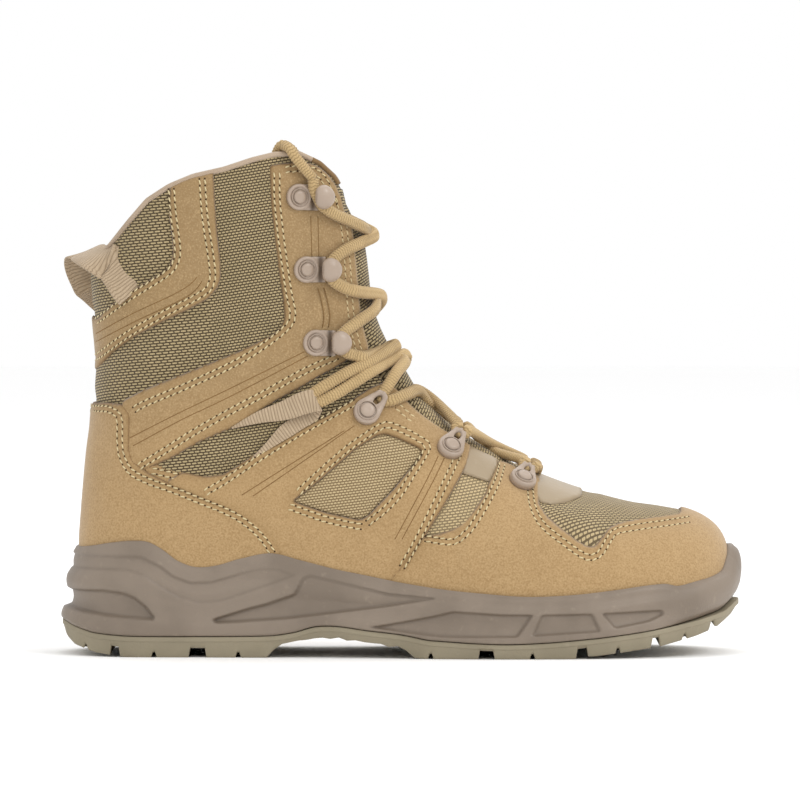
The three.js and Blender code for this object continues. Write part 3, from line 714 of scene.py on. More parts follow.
@dataclass(frozen=True)
class Ribbed:
    """Narrow cloth with ribs across its length."""

    name: str
    colour: Four
    shade: Four
    pitch: float = 1.1
    depth: float = 0.22

    def build(self) -> Finish:
        """Makes the material.

        Returns:
            The material.
        """
        s = Shader(self.name)
        u, v = s.lay()
        wave = (u * 2.4).math("SINE") * 0.12
        rib = ((v / self.pitch + wave).fract() - 0.5).abs() * 2
        weave = ((u + v * 0.5) * 5.2).math("SINE") * 0.5 + 0.5
        cloud = s.noise(7, 3)
        colour = s.mix(rib.fade(0.55, 1.0) * 0.8, self.colour, self.shade)
        colour = s.mix(weave * 0.22, colour, self.shade)
        colour = s.mix(cloud.fade(0.4, 0.75) * 0.25, colour, self.shade)
        height = (1 - rib.fade(0.4, 1.0)) * 0.8 + weave * 0.2
        return s.dress(
            Base_Color=colour,
            Roughness=0.82,
            Normal=s.bump(height, self.depth),
            Specular_IOR_Level=0.3,
            Sheen_Weight=0.15,
        )


@dataclass(frozen=True)
class Plain:
    """One even colour with a little cloud in it."""

    name: str
    colour: Four
    rough: float = 0.7

    def build(self) -> Finish:
        """Makes the material.

        Returns:
            The material.
        """
        s = Shader(self.name)
        cloud = s.noise(5, 3)
        darker = tuple(c * 0.82 for c in self.colour[:3]) + (1.0,)
        colour = s.mix(cloud.fade(0.4, 0.7), self.colour, darker)
        return s.dress(Base_Color=colour, Roughness=self.rough, Specular_IOR_Level=0.3)


class Form:
    """Makes named meshes that ride on the boot."""

    @staticmethod
    def grid(across: int, along: int) -> tuple[BMesh, Array, Array]:
        """A flat grid to be moved into shape.

        Args:
            across: faces one way.
            along: faces the other way.

        Returns:
            The bmesh and its two coordinates of 0 to 1 at each vertex.
        """
        bm = bmesh.new()
        bmesh.ops.create_grid(bm, x_segments=across, y_segments=along, size=0.5)
        flat = np.array([v.co[:2] for v in bm.verts]) + 0.5
        return bm, flat[:, 0], flat[:, 1]

    @staticmethod
    def put(bm: BMesh, points: Array) -> None:
        """Moves every vertex to its point, given in millimetres."""
        for vertex, point in zip(bm.verts, np.asarray(points) * MM):
            vertex.co = point

    @staticmethod
    def map(bm: BMesh, u: Array, v: Array) -> None:
        """Writes the piece's own map, in millimetres, from values at the vertices.

        Args:
            bm: the mesh.
            u: first coordinates.
            v: second coordinates.
        """
        bm.verts.index_update()
        layer = bm.loops.layers.uv.new("Lay")
        for face in bm.faces:
            for loop in face.loops:
                i = loop.vert.index
                loop[layer].uv = (u[i], v[i])

    @staticmethod
    def marks(bm: BMesh, name: str, values: Array) -> None:
        """Writes one attribute at the vertices.

        Args:
            bm: the mesh.
            name: the attribute's name.
            values: one for each vertex.
        """
        bm.verts.index_update()
        layer = bm.verts.layers.float.new(name)
        for vertex, value in zip(bm.verts, values):
            vertex[layer] = float(value)

    @staticmethod
    def join(parts: Sequence[BMesh]) -> BMesh:
        """Joins bmeshes into a new one and frees them.

        Args:
            parts: the bmeshes.

        Returns:
            The whole.
        """
        whole = bmesh.new()
        for part in parts:
            mesh = bpy.data.meshes.new("part")
            part.to_mesh(mesh)
            part.free()
            whole.from_mesh(mesh)
            bpy.data.meshes.remove(mesh)
        return whole

    @staticmethod
    def close(bm: BMesh, reach: float = 0.01 * MM) -> BMesh:
        """Joins vertices that coincide and turns the faces outwards.

        Args:
            bm: the mesh.
            reach: how close vertices are that coincide.

        Returns:
            The same mesh.
        """
        bmesh.ops.remove_doubles(bm, verts=bm.verts, dist=reach)
        bmesh.ops.recalc_face_normals(bm, faces=bm.faces)
        return bm

    @staticmethod
    def piece(
        name: str,
        bm: BMesh,
        material: Finish,
        slot: str,
        replaces: Sequence[str] = (),
        smooth: bool = True,
    ) -> bpy.types.Object:
        """Turns a bmesh into a finished piece.

        Args:
            name: the piece's name.
            bm: its mesh, which is freed.
            material: its finish.
            slot: not used.
            replaces: solids that it stands for.
            smooth: whether it is shaded smooth.

        Returns:
            The object.
        """
        for face in bm.faces:
            face.smooth = smooth
        mesh = bpy.data.meshes.new(name)
        bm.to_mesh(mesh)
        bm.free()
        obj = bpy.data.objects.new(name, mesh)
        bpy.context.scene.collection.objects.link(obj)
        mesh.materials.append(material)
        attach(obj, "root")
        if replaces:
            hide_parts(*replaces)
        LOG.info("%s: %d faces", name, len(mesh.polygons))
        return obj

    @staticmethod
    def thicken(obj: bpy.types.Object, depth: float, inner: Finish | None = None) -> None:
        """Gives a sheet its wall inwards, in millimetres, with another finish inside if given.

        Args:
            obj: the sheet.
            depth: thickness of the wall.
            inner: finish of the inside.
        """
        wall = obj.modifiers.new("Wall", "SOLIDIFY")
        wall.thickness = depth * MM
        wall.offset = -1
        wall.use_even_offset = False
        if inner is not None:
            obj.data.materials.append(inner)
            wall.material_offset = 1


@dataclass(frozen=True)
class Studio:
    """Camera, floor and lights."""

    distance: float = 3.0
    lens: float = 302.0
    elevation: float = 1.5
    aim: Point3 = (-0.0004, 0.0, 0.1127)
    floor_colour: Four = (0.98, 0.98, 0.98, 1.0)

    def camera(self) -> None:
        """Sets the camera."""
        data = bpy.data.cameras.new("Camera")
        data.lens = self.lens
        data.sensor_width = 36
        data.clip_end = 50
        camera = bpy.data.objects.new("Camera", data)
        bpy.context.scene.collection.objects.link(camera)
        turn = math.radians(self.elevation)
        back = Vector((0, -math.cos(turn), math.sin(turn)))
        camera.location = Vector(self.aim) + back * self.distance
        camera.rotation_euler = (-back).to_track_quat("-Z", "Y").to_euler()
        bpy.context.scene.camera = camera

    def floor(self) -> None:
        """Lays the pale floor."""
        bm = bmesh.new()
        bmesh.ops.create_grid(bm, x_segments=1, y_segments=1, size=6)
        mesh = bpy.data.meshes.new("floor")
        bm.to_mesh(mesh)
        bm.free()
        floor = bpy.data.objects.new("floor", mesh)
        bpy.context.scene.collection.objects.link(floor)
        s = Shader("floor_paper")
        cloud = s.noise(900, 2)
        colour = s.mix(cloud * 0.1, self.floor_colour, (0.95, 0.95, 0.95, 1.0))
        mesh.materials.append(s.dress(Base_Color=colour, Roughness=0.9))

    def lights(self) -> None:
        """Sets the soft lights, the pale surroundings and a plain screen curve."""
        bpy.context.scene.view_settings.view_transform = "Standard"
        world = bpy.data.worlds.new("Studio")
        bpy.context.scene.world = world
        world.use_nodes = True
        back = world.node_tree.nodes["Background"]
        back.inputs[0].default_value = (1, 1, 1, 1)
        back.inputs[1].default_value = 1.0
        for name, place, size, power in (
            ("Key", (1.5, -1.3, 1.9), 1.0, 20.0),
            ("Fill", (-1.5, -1.6, 1.0), 1.6, 2.0),
            ("Top", (0.1, 0.3, 2.2), 1.4, 10.0),
            ("Rim", (0.6, 1.8, 1.4), 1.2, 4.0),
        ):
            data = bpy.data.lights.new(name, "AREA")
            data.energy = power
            data.size = size
            light = bpy.data.objects.new(name, data)
            bpy.context.scene.collection.objects.link(light)
            light.location = place
            aim = Vector(self.aim) - Vector(place)
            light.rotation_euler = aim.to_track_quat("-Z", "Y").to_euler()


class Outline:
    """A closed outline in the side view, with its corners softened."""

    def __init__(self, corners: Array, soften: float = 2.4, step: float = 0.8) -> None:
        """Resamples the corners evenly and rounds them.

        Args:
            corners: side view points in millimetres.
            soften: length over which a corner is rounded.
            step: length between two points of the outcome.
        """
        loop = np.vstack([corners, corners[:1]])
        run = lengths(loop)
        count = int(run[-1] / step)
        at = np.arange(count) / count * run[-1]
        line = np.stack([np.interp(at, run, loop[:, k]) for k in (0, 1)], 1)
        reach = max(int(soften / step / 2), 1)
        weights = np.ones(2 * reach + 1) / (2 * reach + 1)
        wrapped = np.vstack([line[-reach:], line, line[:reach]])
        self.line = np.stack([np.convolve(wrapped[:, k], weights, "valid") for k in (0, 1)], 1)

    def nearest(self, points: Array) -> tuple[Array, Array]:
        """The nearest place of the outline.

        Args:
            points: side view points.

        Returns:
            The nearest points, and the distance, which is below 0 outside.
        """
        a = self.line
        b = np.roll(a, -1, axis=0)
        run = b - a
        square = np.maximum((run**2).sum(1), 1e-12)
        near = np.empty_like(points)
        depth = np.empty(len(points))
        for start in range(0, len(points), BATCH):
            p = points[start : start + BATCH]
            t = np.clip(((p[:, None] - a[None]) * run).sum(2) / square, 0, 1)
            foot = a[None] + run[None] * t[..., None]
            gap = ((p[:, None] - foot) ** 2).sum(2)
            best = gap.argmin(1)
            rows = np.arange(len(p))
            near[start : start + BATCH] = foot[rows, best]
            over = (a[None, :, 1] > p[:, None, 1]) != (b[None, :, 1] > p[:, None, 1])
            slope = run[:, 0] / np.where(run[:, 1] == 0, 1e-9, run[:, 1])
            cross = a[None, :, 0] + (p[:, None, 1] - a[None, :, 1]) * slope[None]
            inside = ((over & (p[:, None, 0] < cross)).sum(1) % 2) == 1
            gap = np.sqrt(gap[rows, best])
            depth[start : start + BATCH] = np.where(inside, gap, -gap)
        return near, depth


def line_gap(points: Array, line: Array) -> Array:
    """Distance from side view points to an open line.

    Args:
        points: side view points.
        line: points of the line.

    Returns:
        The distances.
    """
    a, b = line[:-1], line[1:]
    run = b - a
    square = np.maximum((run**2).sum(1), 1e-12)
    gaps = []
    for start in range(0, len(points), BATCH):
        p = points[start : start + BATCH]
        t = np.clip(((p[:, None] - a[None]) * run).sum(2) / square, 0, 1)
        gaps.append(np.sqrt(((p[:, None] - a[None] - run[None] * t[..., None]) ** 2).sum(2).min(1)))
    return np.concatenate(gaps) if gaps else np.zeros(0)


def seen_line(*places: Point2) -> Array:
    """A side view line through places of the side picture."""
    return np.array([seen(*place) for place in places])


def along_line(line: Array, pitch: float) -> Array:
    """Points at an even pitch along a line of any dimension.

    Args:
        line: points of the line.
        pitch: length between two points.

    Returns:
        The points.
    """
    run = lengths(line)
    at = np.linspace(0, run[-1], max(int(round(run[-1] / pitch)), 2))
    return np.stack([np.interp(at, run, line[:, k]) for k in range(line.shape[1])], 1)


def rounded_line(line: Array, steps: int = 8) -> Array:
    """A smooth line through the points of a coarse one.

    Args:
        line: points of the line.
        steps: new points for each old one.

    Returns:
        The smooth line.
    """
    rows = Table(" ".join(str(k) for k in range(line.shape[1])), line.tolist())
    place = np.linspace(0, len(line) - 1, (len(line) - 1) * steps + 1)
    return np.stack([rows.smooth(str(k), place) for k in range(line.shape[1])], 1)


THROAT_EDGE = Table(
    "section half",
    [(6.2, 0.0), (6.45, 0.07), (6.8, 0.115), (8, 0.15), (10, 0.165), (12, 0.17), (15, 0.18),
     (19, 0.185), (24, 0.19)],
)

COLLAR_LINE = [
    (0.03, 1.42), (0.047, 1.441), (0.059, 1.515), (0.079, 1.58), (0.105, 1.68), (0.133, 1.78),
    (0.165, 1.845), (0.2, 1.89), (0.245, 1.922), (0.286, 1.965), (0.318, 1.99), (0.352, 1.995),
    (0.381, 1.953), (0.403, 1.889), (0.416, 1.81), (0.425, 1.723), (0.46, 1.6),
]
# The rest of the body's outline, past its toe and under its feather edge
BODY_LINE = [
    (0.6, 1.6), (1.05, 0.9), (1.05, 0.25), (0.85, 0.15), (0.65, 0.125), (0.53, 0.145),
    (0.4, 0.17), (0.0, 0.175), (-0.05, 0.5), (-0.05, 1.42),
]
TONGUE_LINE = [
    (0.3, 1.975), (0.355, 1.975), (0.383, 1.93), (0.405, 1.865), (0.42, 1.78), (0.432, 1.7),
    (0.47, 1.6),
]
COUNTER_LINE = [
    (-0.1, 0.886), (0.02, 0.886), (0.074, 0.891), (0.095, 0.885), (0.106, 0.85), (0.105, 0.73),
    (0.11, 0.69), (0.134, 0.645), (0.169, 0.606), (0.221, 0.555), (0.26, 0.517), (0.294, 0.473),
    (0.315, 0.422), (0.33, 0.345), (0.335, 0.1), (-0.1, 0.1),
]
STRAP_LINE = [
    (0.0, 1.32), (0.02, 1.36), (0.051, 1.235), (0.079, 1.31), (0.105, 1.365), (0.15, 1.445),
    (0.165, 1.48), (0.17, 1.54), (0.169, 1.61), (0.164, 1.71), (0.165, 1.92), (0.228, 2.0),
    (0.231, 1.81), (0.234, 1.66), (0.239, 1.511), (0.24, 1.43), (0.235, 1.38), (0.22, 1.33),
    (0.19, 1.28), (0.159, 1.235), (0.111, 1.158), (0.079, 1.088), (0.056, 1.015), (0.02, 0.93),
    (0.0, 0.9),
]
EYESTAY_LINE = [
    (0.309, 2.08), (0.313, 1.76), (0.318, 1.61), (0.324, 1.46), (0.331, 1.31), (0.332, 1.24),
    (0.327, 1.2), (0.312, 1.165), (0.27, 1.1), (0.223, 1.04), (0.175, 0.985), (0.127, 0.939),
    (0.095, 0.9), (0.088, 0.845), (0.086, 0.77), (0.086, 0.73), (0.092, 0.68), (0.118, 0.64),
    (0.142, 0.672), (0.169, 0.701), (0.208, 0.755), (0.247, 0.796), (0.268, 0.815),
    (0.318, 0.896), (0.357, 0.947), (0.383, 0.985), (0.402, 1.01), (0.42, 1.046), (0.46, 1.1),
    (0.52, 1.4), (0.48, 2.08),
]
QUARTER_LINE = [
    (0.16, 0.62), (0.184, 0.65), (0.216, 0.634), (0.242, 0.641), (0.262, 0.669), (0.289, 0.714),
    (0.326, 0.758), (0.365, 0.815), (0.396, 0.854), (0.425, 0.896), (0.457, 0.946), (0.5, 0.99),
    (0.6, 0.9), (0.61, 0.8), (0.597, 0.68), (0.59, 0.649), (0.567, 0.554), (0.536, 0.433),
    (0.515, 0.357), (0.487, 0.269), (0.46, 0.18), (0.32, 0.1), (0.316, 0.345), (0.302, 0.41),
    (0.284, 0.46), (0.25, 0.505), (0.212, 0.543), (0.162, 0.59),
]
WINDOW_LINE = [
    (0.344, 0.548), (0.391, 0.509), (0.44, 0.484), (0.452, 0.499), (0.488, 0.591), (0.532, 0.715),
    (0.529, 0.733), (0.496, 0.769), (0.478, 0.784), (0.466, 0.779), (0.435, 0.733), (0.383, 0.623),
]
RAND_LINE = [
    (0.65, 0.8), (0.643, 0.69), (0.628, 0.617), (0.623, 0.579), (0.604, 0.516), (0.589, 0.478),
    (0.573, 0.453), (0.555, 0.437), (0.53, 0.43), (0.503, 0.352), (0.472, 0.264), (0.45, 0.18),
    (1.02, 0.1), (1.02, 0.6), (0.915, 0.6), (0.913, 0.53), (0.907, 0.501), (0.881, 0.495),
    (0.841, 0.486), (0.818, 0.476), (0.802, 0.46), (0.792, 0.428), (0.781, 0.397), (0.771, 0.394),
    (0.755, 0.416), (0.732, 0.46), (0.711, 0.504), (0.701, 0.543), (0.704, 0.619), (0.7, 0.75),
]


@dataclass
class Skin:
    """The skin of the last, laid out evenly around, with its puffs, troughs and creases."""

    last: Last = LAST
    dense: int = 240
    sections: int = 961
    shares: int = 241
    tables: dict[float | None, Array] = field(default_factory=dict)
    windows: list[tuple[Outline, float]] = field(default_factory=list)
    seams: list[Array] = field(default_factory=list)
    folds: list[tuple[Array, float, float]] = field(default_factory=list)

    def throat(self, place: Array) -> Array:
        """Half width of the throat at sections, in millimetres."""
        half = THROAT_EDGE.straight("half", "section", place) * self.last.ball_width
        return np.where(place < THROAT_EDGE.data["section"][0], 0, half)

    def angles(self, place: Array, share: Array, lap: float | None = 0.0) -> Array:
        """Angles at even arc lengths from the back of the section to the throat.

        Args:
            place: sections, one for each share.
            share: 0 at the back and 1 at the edge of the throat.
            lap: how far past the edge of the throat the share of 1 lies, or None for the front.

        Returns:
            The angles on the lateral side.
        """
        if lap not in self.tables:
            self.tables[lap] = self.table(lap)
        table = self.tables[lap]
        rows, columns = table.shape
        at = np.clip(np.asarray(place) / self.last.end, 0, 1) * (rows - 1)
        to = np.clip(share, 0, 1) * (columns - 1)
        i, j = np.minimum(at.astype(int), rows - 2), np.minimum(to.astype(int), columns - 2)
        a, b = at - i, to - j
        low = table[i, j] * (1 - b) + table[i, j + 1] * b
        high = table[i + 1, j] * (1 - b) + table[i + 1, j + 1] * b
        return low * (1 - a) + high * a

    def table(self, lap: float | None) -> Array:
        """Angles at even sections and arc lengths, for one lap.

        Args:
            lap: how far past the throat's edge it goes.

        Returns:
            A row of angles for each section.
        """
        rows = np.linspace(0, self.last.end, self.sections)
        ring = np.linspace(0, np.pi, self.dense)
        points = self.last.skin(rows[:, None], np.broadcast_to(ring, (len(rows), self.dense)))
        steps = np.linalg.norm(np.diff(points, axis=1), axis=2)
        run = np.concatenate([np.zeros((len(rows), 1)), np.cumsum(steps, 1)], 1)
        centre = self.last.section(rows)["centre"]
        edge = np.zeros(len(rows)) if lap is None else self.throat(rows) - lap
        share = np.linspace(0, 1, self.shares)
        table = np.empty((len(rows), len(share)))
        half = self.dense // 2
        for i in range(len(rows)):
            end = run[i, -1]
            if edge[i] > 0:
                reach = np.abs(points[i, :, 1] - centre[i])
                end = np.interp(edge[i], reach[half:][::-1], run[i, half:][::-1])
            table[i] = np.interp(share * end, run[i], ring)
        return table

    @staticmethod
    def around(view: Array, line: Array, margin: float) -> Array:
        """Which side view points lie in the box about a line, with a margin."""
        return ((view > line.min(0) - margin) & (view < line.max(0) + margin)).all(1)

    def puff(self, view: Array) -> Array:
        """How far padded windows stand proud at side view points.

        Args:
            view: side view points.

        Returns:
            The heights.
        """
        lift = np.zeros(len(view))
        for outline, height in self.windows:
            near = self.around(view, outline.line, 1)
            t = np.clip(outline.nearest(view[near])[1] / 9, 0, 1)
            lift[near] = np.maximum(lift[near], height * np.sin(t * np.pi / 2))
        return lift

    def crease(self, view: Array) -> Array:
        """The soft ridges and troughs that wear has left, below 0 in a trough.

        Args:
            view: side view points.

        Returns:
            The heights.
        """
        lift = np.zeros(len(view))
        for line, depth, width in self.folds:
            near = self.around(view, line, 3 * width)
            gap = line_gap(view[near], line) / width
            lift[near] -= depth * (np.exp(-(gap**2)) - 0.45 * np.exp(-((gap - 1.7) ** 2)))
        return lift

    def seam(self, view: Array) -> Array:
        """How near side view points are to a sewn seam, from 0 to 1.

        Args:
            view: side view points.

        Returns:
            The marks.
        """
        mark = np.zeros(len(view))
        for line in self.seams:
            near = self.around(view, line, 4)
            gap = line_gap(view[near], line) / 1.7
            mark[near] = np.maximum(mark[near], np.exp(-(gap**2)))
        return mark


@dataclass
class Cover:
    """A sheet that lies on the last inside a side outline."""

    skin: Skin
    name: str
    corners: Array
    top: float = 1.5
    roll: float = 1.0
    step: float = 1.4
    holes: Sequence[Array] = ()
    sides: tuple[Side, ...] = (Side.LATERAL, Side.MEDIAL)
    lap: float | None = 0.0
    first: float = 0.05
    soften: float = 2.4
    puffed: bool = False
    hug: float = 1.0
    plain_edges: bool = False
    slant: float = math.radians(8)

    def depth(self, view: Array) -> tuple[Array, Array]:
        """Nearest edge points and depths inside the outline and outside its holes.

        Args:
            view: side view points.

        Returns:
            The edge points and the depths.
        """
        near, depth = self.outline.nearest(view)
        for hole in self.cut:
            foot, gap = hole.nearest(view)
            closer = -gap < depth
            near[closer], depth[closer] = foot[closer], -gap[closer]
        return near, depth

    def ranges(self) -> Four:
        """The sections and shares that the outline covers.

        Returns:
            First and last section, first and last share.
        """
        place, share = np.meshgrid(np.linspace(self.first, LAST.end, 150), np.linspace(0, 1, 80))
        place, share = place.ravel(), share.ravel()
        points = LAST.over(place, self.skin.angles(place, share, self.lap), self.top)
        inside = self.outline.nearest(points[:, (0, 2)])[1] > -4
        margin = 0.25
        return (
            max(place[inside].min() - margin, self.first),
            min(place[inside].max() + margin, LAST.end),
            max(share[inside].min() - 0.03, 0),
            min(share[inside].max() + 0.03, 1),
        )

    def half(self, side: Side, span: Four) -> BMesh:
        """One side of the sheet, on the skin.

        Args:
            side: which side.
            span: first and last section, first and last share.

        Returns:
            The mesh with its map and marks.
        """
        low, high, start, stop = span
        mean = np.linspace(low, high, 40)
        edge = [lengths(LAST.skin(mean, np.full(40, a * np.pi))) for a in (0.25, 0.6, 0.9)]
        length = max(e[-1] for e in edge)
        ring = LAST.skin(np.full(60, (low + high) / 2), np.linspace(0, np.pi, 60))
        around = lengths(ring)[-1] * (stop - start)
        bm, u, v = Form.grid(max(int(around / self.step), 4), max(int(length / self.step), 4))
        u, v = np.round(u, 6), np.round(v, 6)
        place = np.interp(v * edge[1][-1], edge[1], mean)
        share = start + u * (stop - start)

        def look(p: Array, s: Array) -> Array:
            """Side view places of sections and shares."""
            return LAST.over(p, self.skin.angles(p, s, self.lap), self.top)[:, (0, 2)]

        view = look(place, share)
        depth = self.depth(view)[1]
        bm.verts.index_update()
        tag = bm.verts.layers.int.new("first")
        for vertex in bm.verts:
            vertex[tag] = vertex.index
        drop = [f for f in bm.faces if min(depth[x.index] for x in f.verts) < -0.4 * self.step]
        bmesh.ops.delete(bm, geom=drop, context="FACES")
        thin = [f for f in bm.faces if sum(len(e.link_faces) == 1 for e in f.edges) >= 3]
        bmesh.ops.delete(bm, geom=thin, context="FACES")
        kept = np.array([vertex[tag] for vertex in bm.verts])
        place, share, depth, view = place[kept], share[kept], depth[kept], view[kept]
        rim = np.array([vertex.is_boundary for vertex in bm.verts])
        free = (share > 1e-6) & (share < 1 - 1e-6)
        which = np.nonzero(rim & (np.abs(depth) < 1.6 * self.step))[0]
        for _ in range(3):
            p, s = place[which], share[which]
            here = look(p, s)
            aim = self.depth(here)[0] - here
            dp = (look(np.minimum(p + 0.02, LAST.end), s) - here) / 0.02
            inner = np.where(s > 0.5, -0.004, 0.004)
            ds = (look(p, s + inner) - here) / inner[:, None] * free[which, None]
            soft = 4.0
            a, b, d = (dp**2).sum(1) + soft, (dp * ds).sum(1), (ds**2).sum(1) + soft
            e, f = (dp * aim).sum(1), (ds * aim).sum(1)
            det = a * d - b * b
            along, sideways = (d * e - b * f) / det, (a * f - b * e) / det
            place[which] = np.clip(p + np.clip(along, -0.15, 0.15), self.first, LAST.end)
            share[which] = np.clip(s + np.clip(sideways, -0.02, 0.02), 0, 1)
        view = look(place, share)
        depth = np.abs(self.depth(view)[1])
        if self.plain_edges:
            depth = depth + self.roll
        angle = self.skin.angles(place, share, self.lap)
        turn = np.clip(1 - depth / self.roll, 0, 1)
        height = self.top - self.roll * (1 - np.sqrt(1 - turn**2))
        seam = self.skin.seam(view)
        height = height - 0.3 * seam * (self.roll > 0.5) + self.hug * self.skin.crease(view)
        if self.puffed:
            height = height + self.skin.puff(view)
        whole = 2 * np.pi - angle if side is Side.MEDIAL else angle
        points = LAST.over(place, whole, height)
        Form.put(bm, points)
        self.lay(bm, place, whole, points)
        Form.marks(bm, "rim", depth)
        Form.marks(bm, "seam", seam)
        bm.verts.layers.int.remove(bm.verts.layers.int["first"])
        return bm

    def lay(self, bm: BMesh, place: Array, angle: Array, points: Array) -> None:
        """Writes the map: the side view on the sides, and unrolled over the toe.

        Args:
            bm: the mesh.
            place: sections along the last.
            angle: angles around the sections.
            points: the vertices in millimetres.
        """
        normal = np.abs(LAST.outward(place, angle))
        s = LAST.section(place)
        flat = np.clip((7.2 - place) / 0.6, 0, 1)
        across = np.abs(points[:, 1] - s["centre"]) * normal[:, 2]
        x = points[:, 0] + normal[:, 0] * np.abs(points[:, 1]) * (1 - flat) * 0.6
        z = points[:, 2] * (1 - flat) + (points[:, 2] - across * 0.9) * flat
        c, s = math.cos(self.slant), math.sin(self.slant)
        Form.map(bm, x * c + z * s, z * c - x * s)

    def mesh(self) -> BMesh:
        """The whole sheet, its sides joined where they meet.

        Returns:
            The mesh.
        """
        self.outline = Outline(self.corners, self.soften)
        self.cut = [Outline(hole, self.soften) for hole in self.holes]
        span = self.ranges()
        halves = [self.half(side, span) for side in self.sides]
        for side, bm in zip(self.sides, halves):
            if side is Side.MEDIAL:
                bmesh.ops.reverse_faces(bm, faces=bm.faces)
        whole = Form.join(halves)
        bmesh.ops.remove_doubles(whole, verts=whole.verts, dist=0.02 * MM)
        whole.normal_update()
        signs = (1 if f.calc_center_median().y > 0 else -1 for f in whole.faces)
        if sum(f.normal.y * sign for f, sign in zip(whole.faces, signs)) < 0:
            bmesh.ops.reverse_faces(whole, faces=whole.faces)
        return whole


@dataclass
class Threads:
    """Sewn rows: short threads with a dark hole between each two, painted as a dark disk of shade.
    """

    skin: Skin
    limit: Outline
    pitch: float = 3.0
    length: float = 2.3
    thick: float = 0.62
    gap: float = 2.4
    lean: float = math.radians(14)
    rows: list[tuple[Array, Side, float]] = field(default_factory=list)

    def double(self, line: Array, lift: float) -> None:
        """Adds two rows side by side, about a side view line, on both sides.

        Args:
            line: points of the line.
            lift: height over the skin.
        """
        run = unit(np.gradient(line, axis=0))
        off = np.stack([-run[:, 1], run[:, 0]], 1) * self.gap / 2
        for side in Side:
            self.rows += [(line + off, side, lift), (line - off, side, lift)]

    def frames(self) -> tuple[Array, Array, Array]:
        """Middles, directions and normals of all threads.

        Returns:
            Three arrays of vectors.
        """
        frames = []
        for line, side, lift in self.rows:
            line = along_line(line, 1.0)
            place, angle = LAST.raised(line, side, lift)
            points = LAST.over(place, angle, lift + self.skin.crease(line) - 0.2)
            near = np.linalg.norm(points[:, (0, 2)] - line, axis=1) < 3.4
            points, place, angle = points[near], place[near], angle[near]
            run = lengths(points)
            count = max(int(run[-1] / self.pitch), 1)
            at = (np.arange(count) + 0.5) * run[-1] / count
            up = LAST.outward(place, angle)
            pick = [np.stack([np.interp(at + k, run, a[:, j]) for j in range(3)], 1)
                    for k, a in ((0, points), (-0.8, points), (0.8, points), (0, up))]
            keep = self.limit.nearest(pick[0][:, (0, 2)])[1] < -2.2
            frames.append((pick[0][keep], unit((pick[2] - pick[1])[keep]), unit(pick[3][keep])))
        return joined(frames)

    @staticmethod
    def copies(shape: BMesh, middles: Array, axes: tuple[Array, Array, Array]) -> BMesh:
        """Repeats a small shape.

        Args:
            shape: the shape in millimetres about its middle, which is freed.
            middles: where the copies go.
            axes: the three directions of each copy.

        Returns:
            All the copies in one mesh.
        """
        local = np.array([v.co[:] for v in shape.verts])
        mesh = bpy.data.meshes.new("shape")
        shape.to_mesh(mesh)
        shape.free()
        whole = bmesh.new()
        for _ in range(len(middles)):
            whole.from_mesh(mesh)
        bpy.data.meshes.remove(mesh)
        points = middles[:, None] + sum(
            local[None, :, k : k + 1] * axis[:, None] for k, axis in enumerate(axes)
        )
        Form.put(whole, points.reshape(-1, 3))
        return whole

    def build(self, name: str, thread: Finish, hole: Finish, slot: str) -> None:
        """Makes the threads and their holes as two pieces.

        Args:
            name: name of the threads.
            thread: finish of the threads.
            hole: finish of the needle holes.
            slot: passed on to the pieces, where it is not used.
        """
        middles, ways, normals = self.frames()
        sides = np.cross(normals, ways)
        slanted = ways * math.cos(self.lean) + sides * math.sin(self.lean)
        across = np.cross(normals, slanted)
        bm = bmesh.new()
        bmesh.ops.create_uvsphere(bm, u_segments=6, v_segments=5, radius=0.5)
        bmesh.ops.rotate(bm, verts=bm.verts, matrix=Matrix.Rotation(math.pi / 2, 3, "Y"))
        bmesh.ops.scale(bm, verts=bm.verts, vec=(self.length, self.thick * 1.2, self.thick))
        bm = self.copies(bm, middles + normals * 0.12, (slanted, across, normals))
        Form.piece(name, bm, thread, slot)
        # Needle holes: flat dark disks on the surface, painted shade of the holes
        bm = bmesh.new()
        bmesh.ops.create_uvsphere(bm, u_segments=8, v_segments=4, radius=0.42)
        bmesh.ops.scale(bm, verts=bm.verts, vec=(1, 1, 0.4))
        where = middles + ways * self.pitch / 2 + sides * 0.1 + normals * 0.08
        Form.piece(name + "_holes", self.copies(bm, where, (ways, sides, normals)), hole, slot)


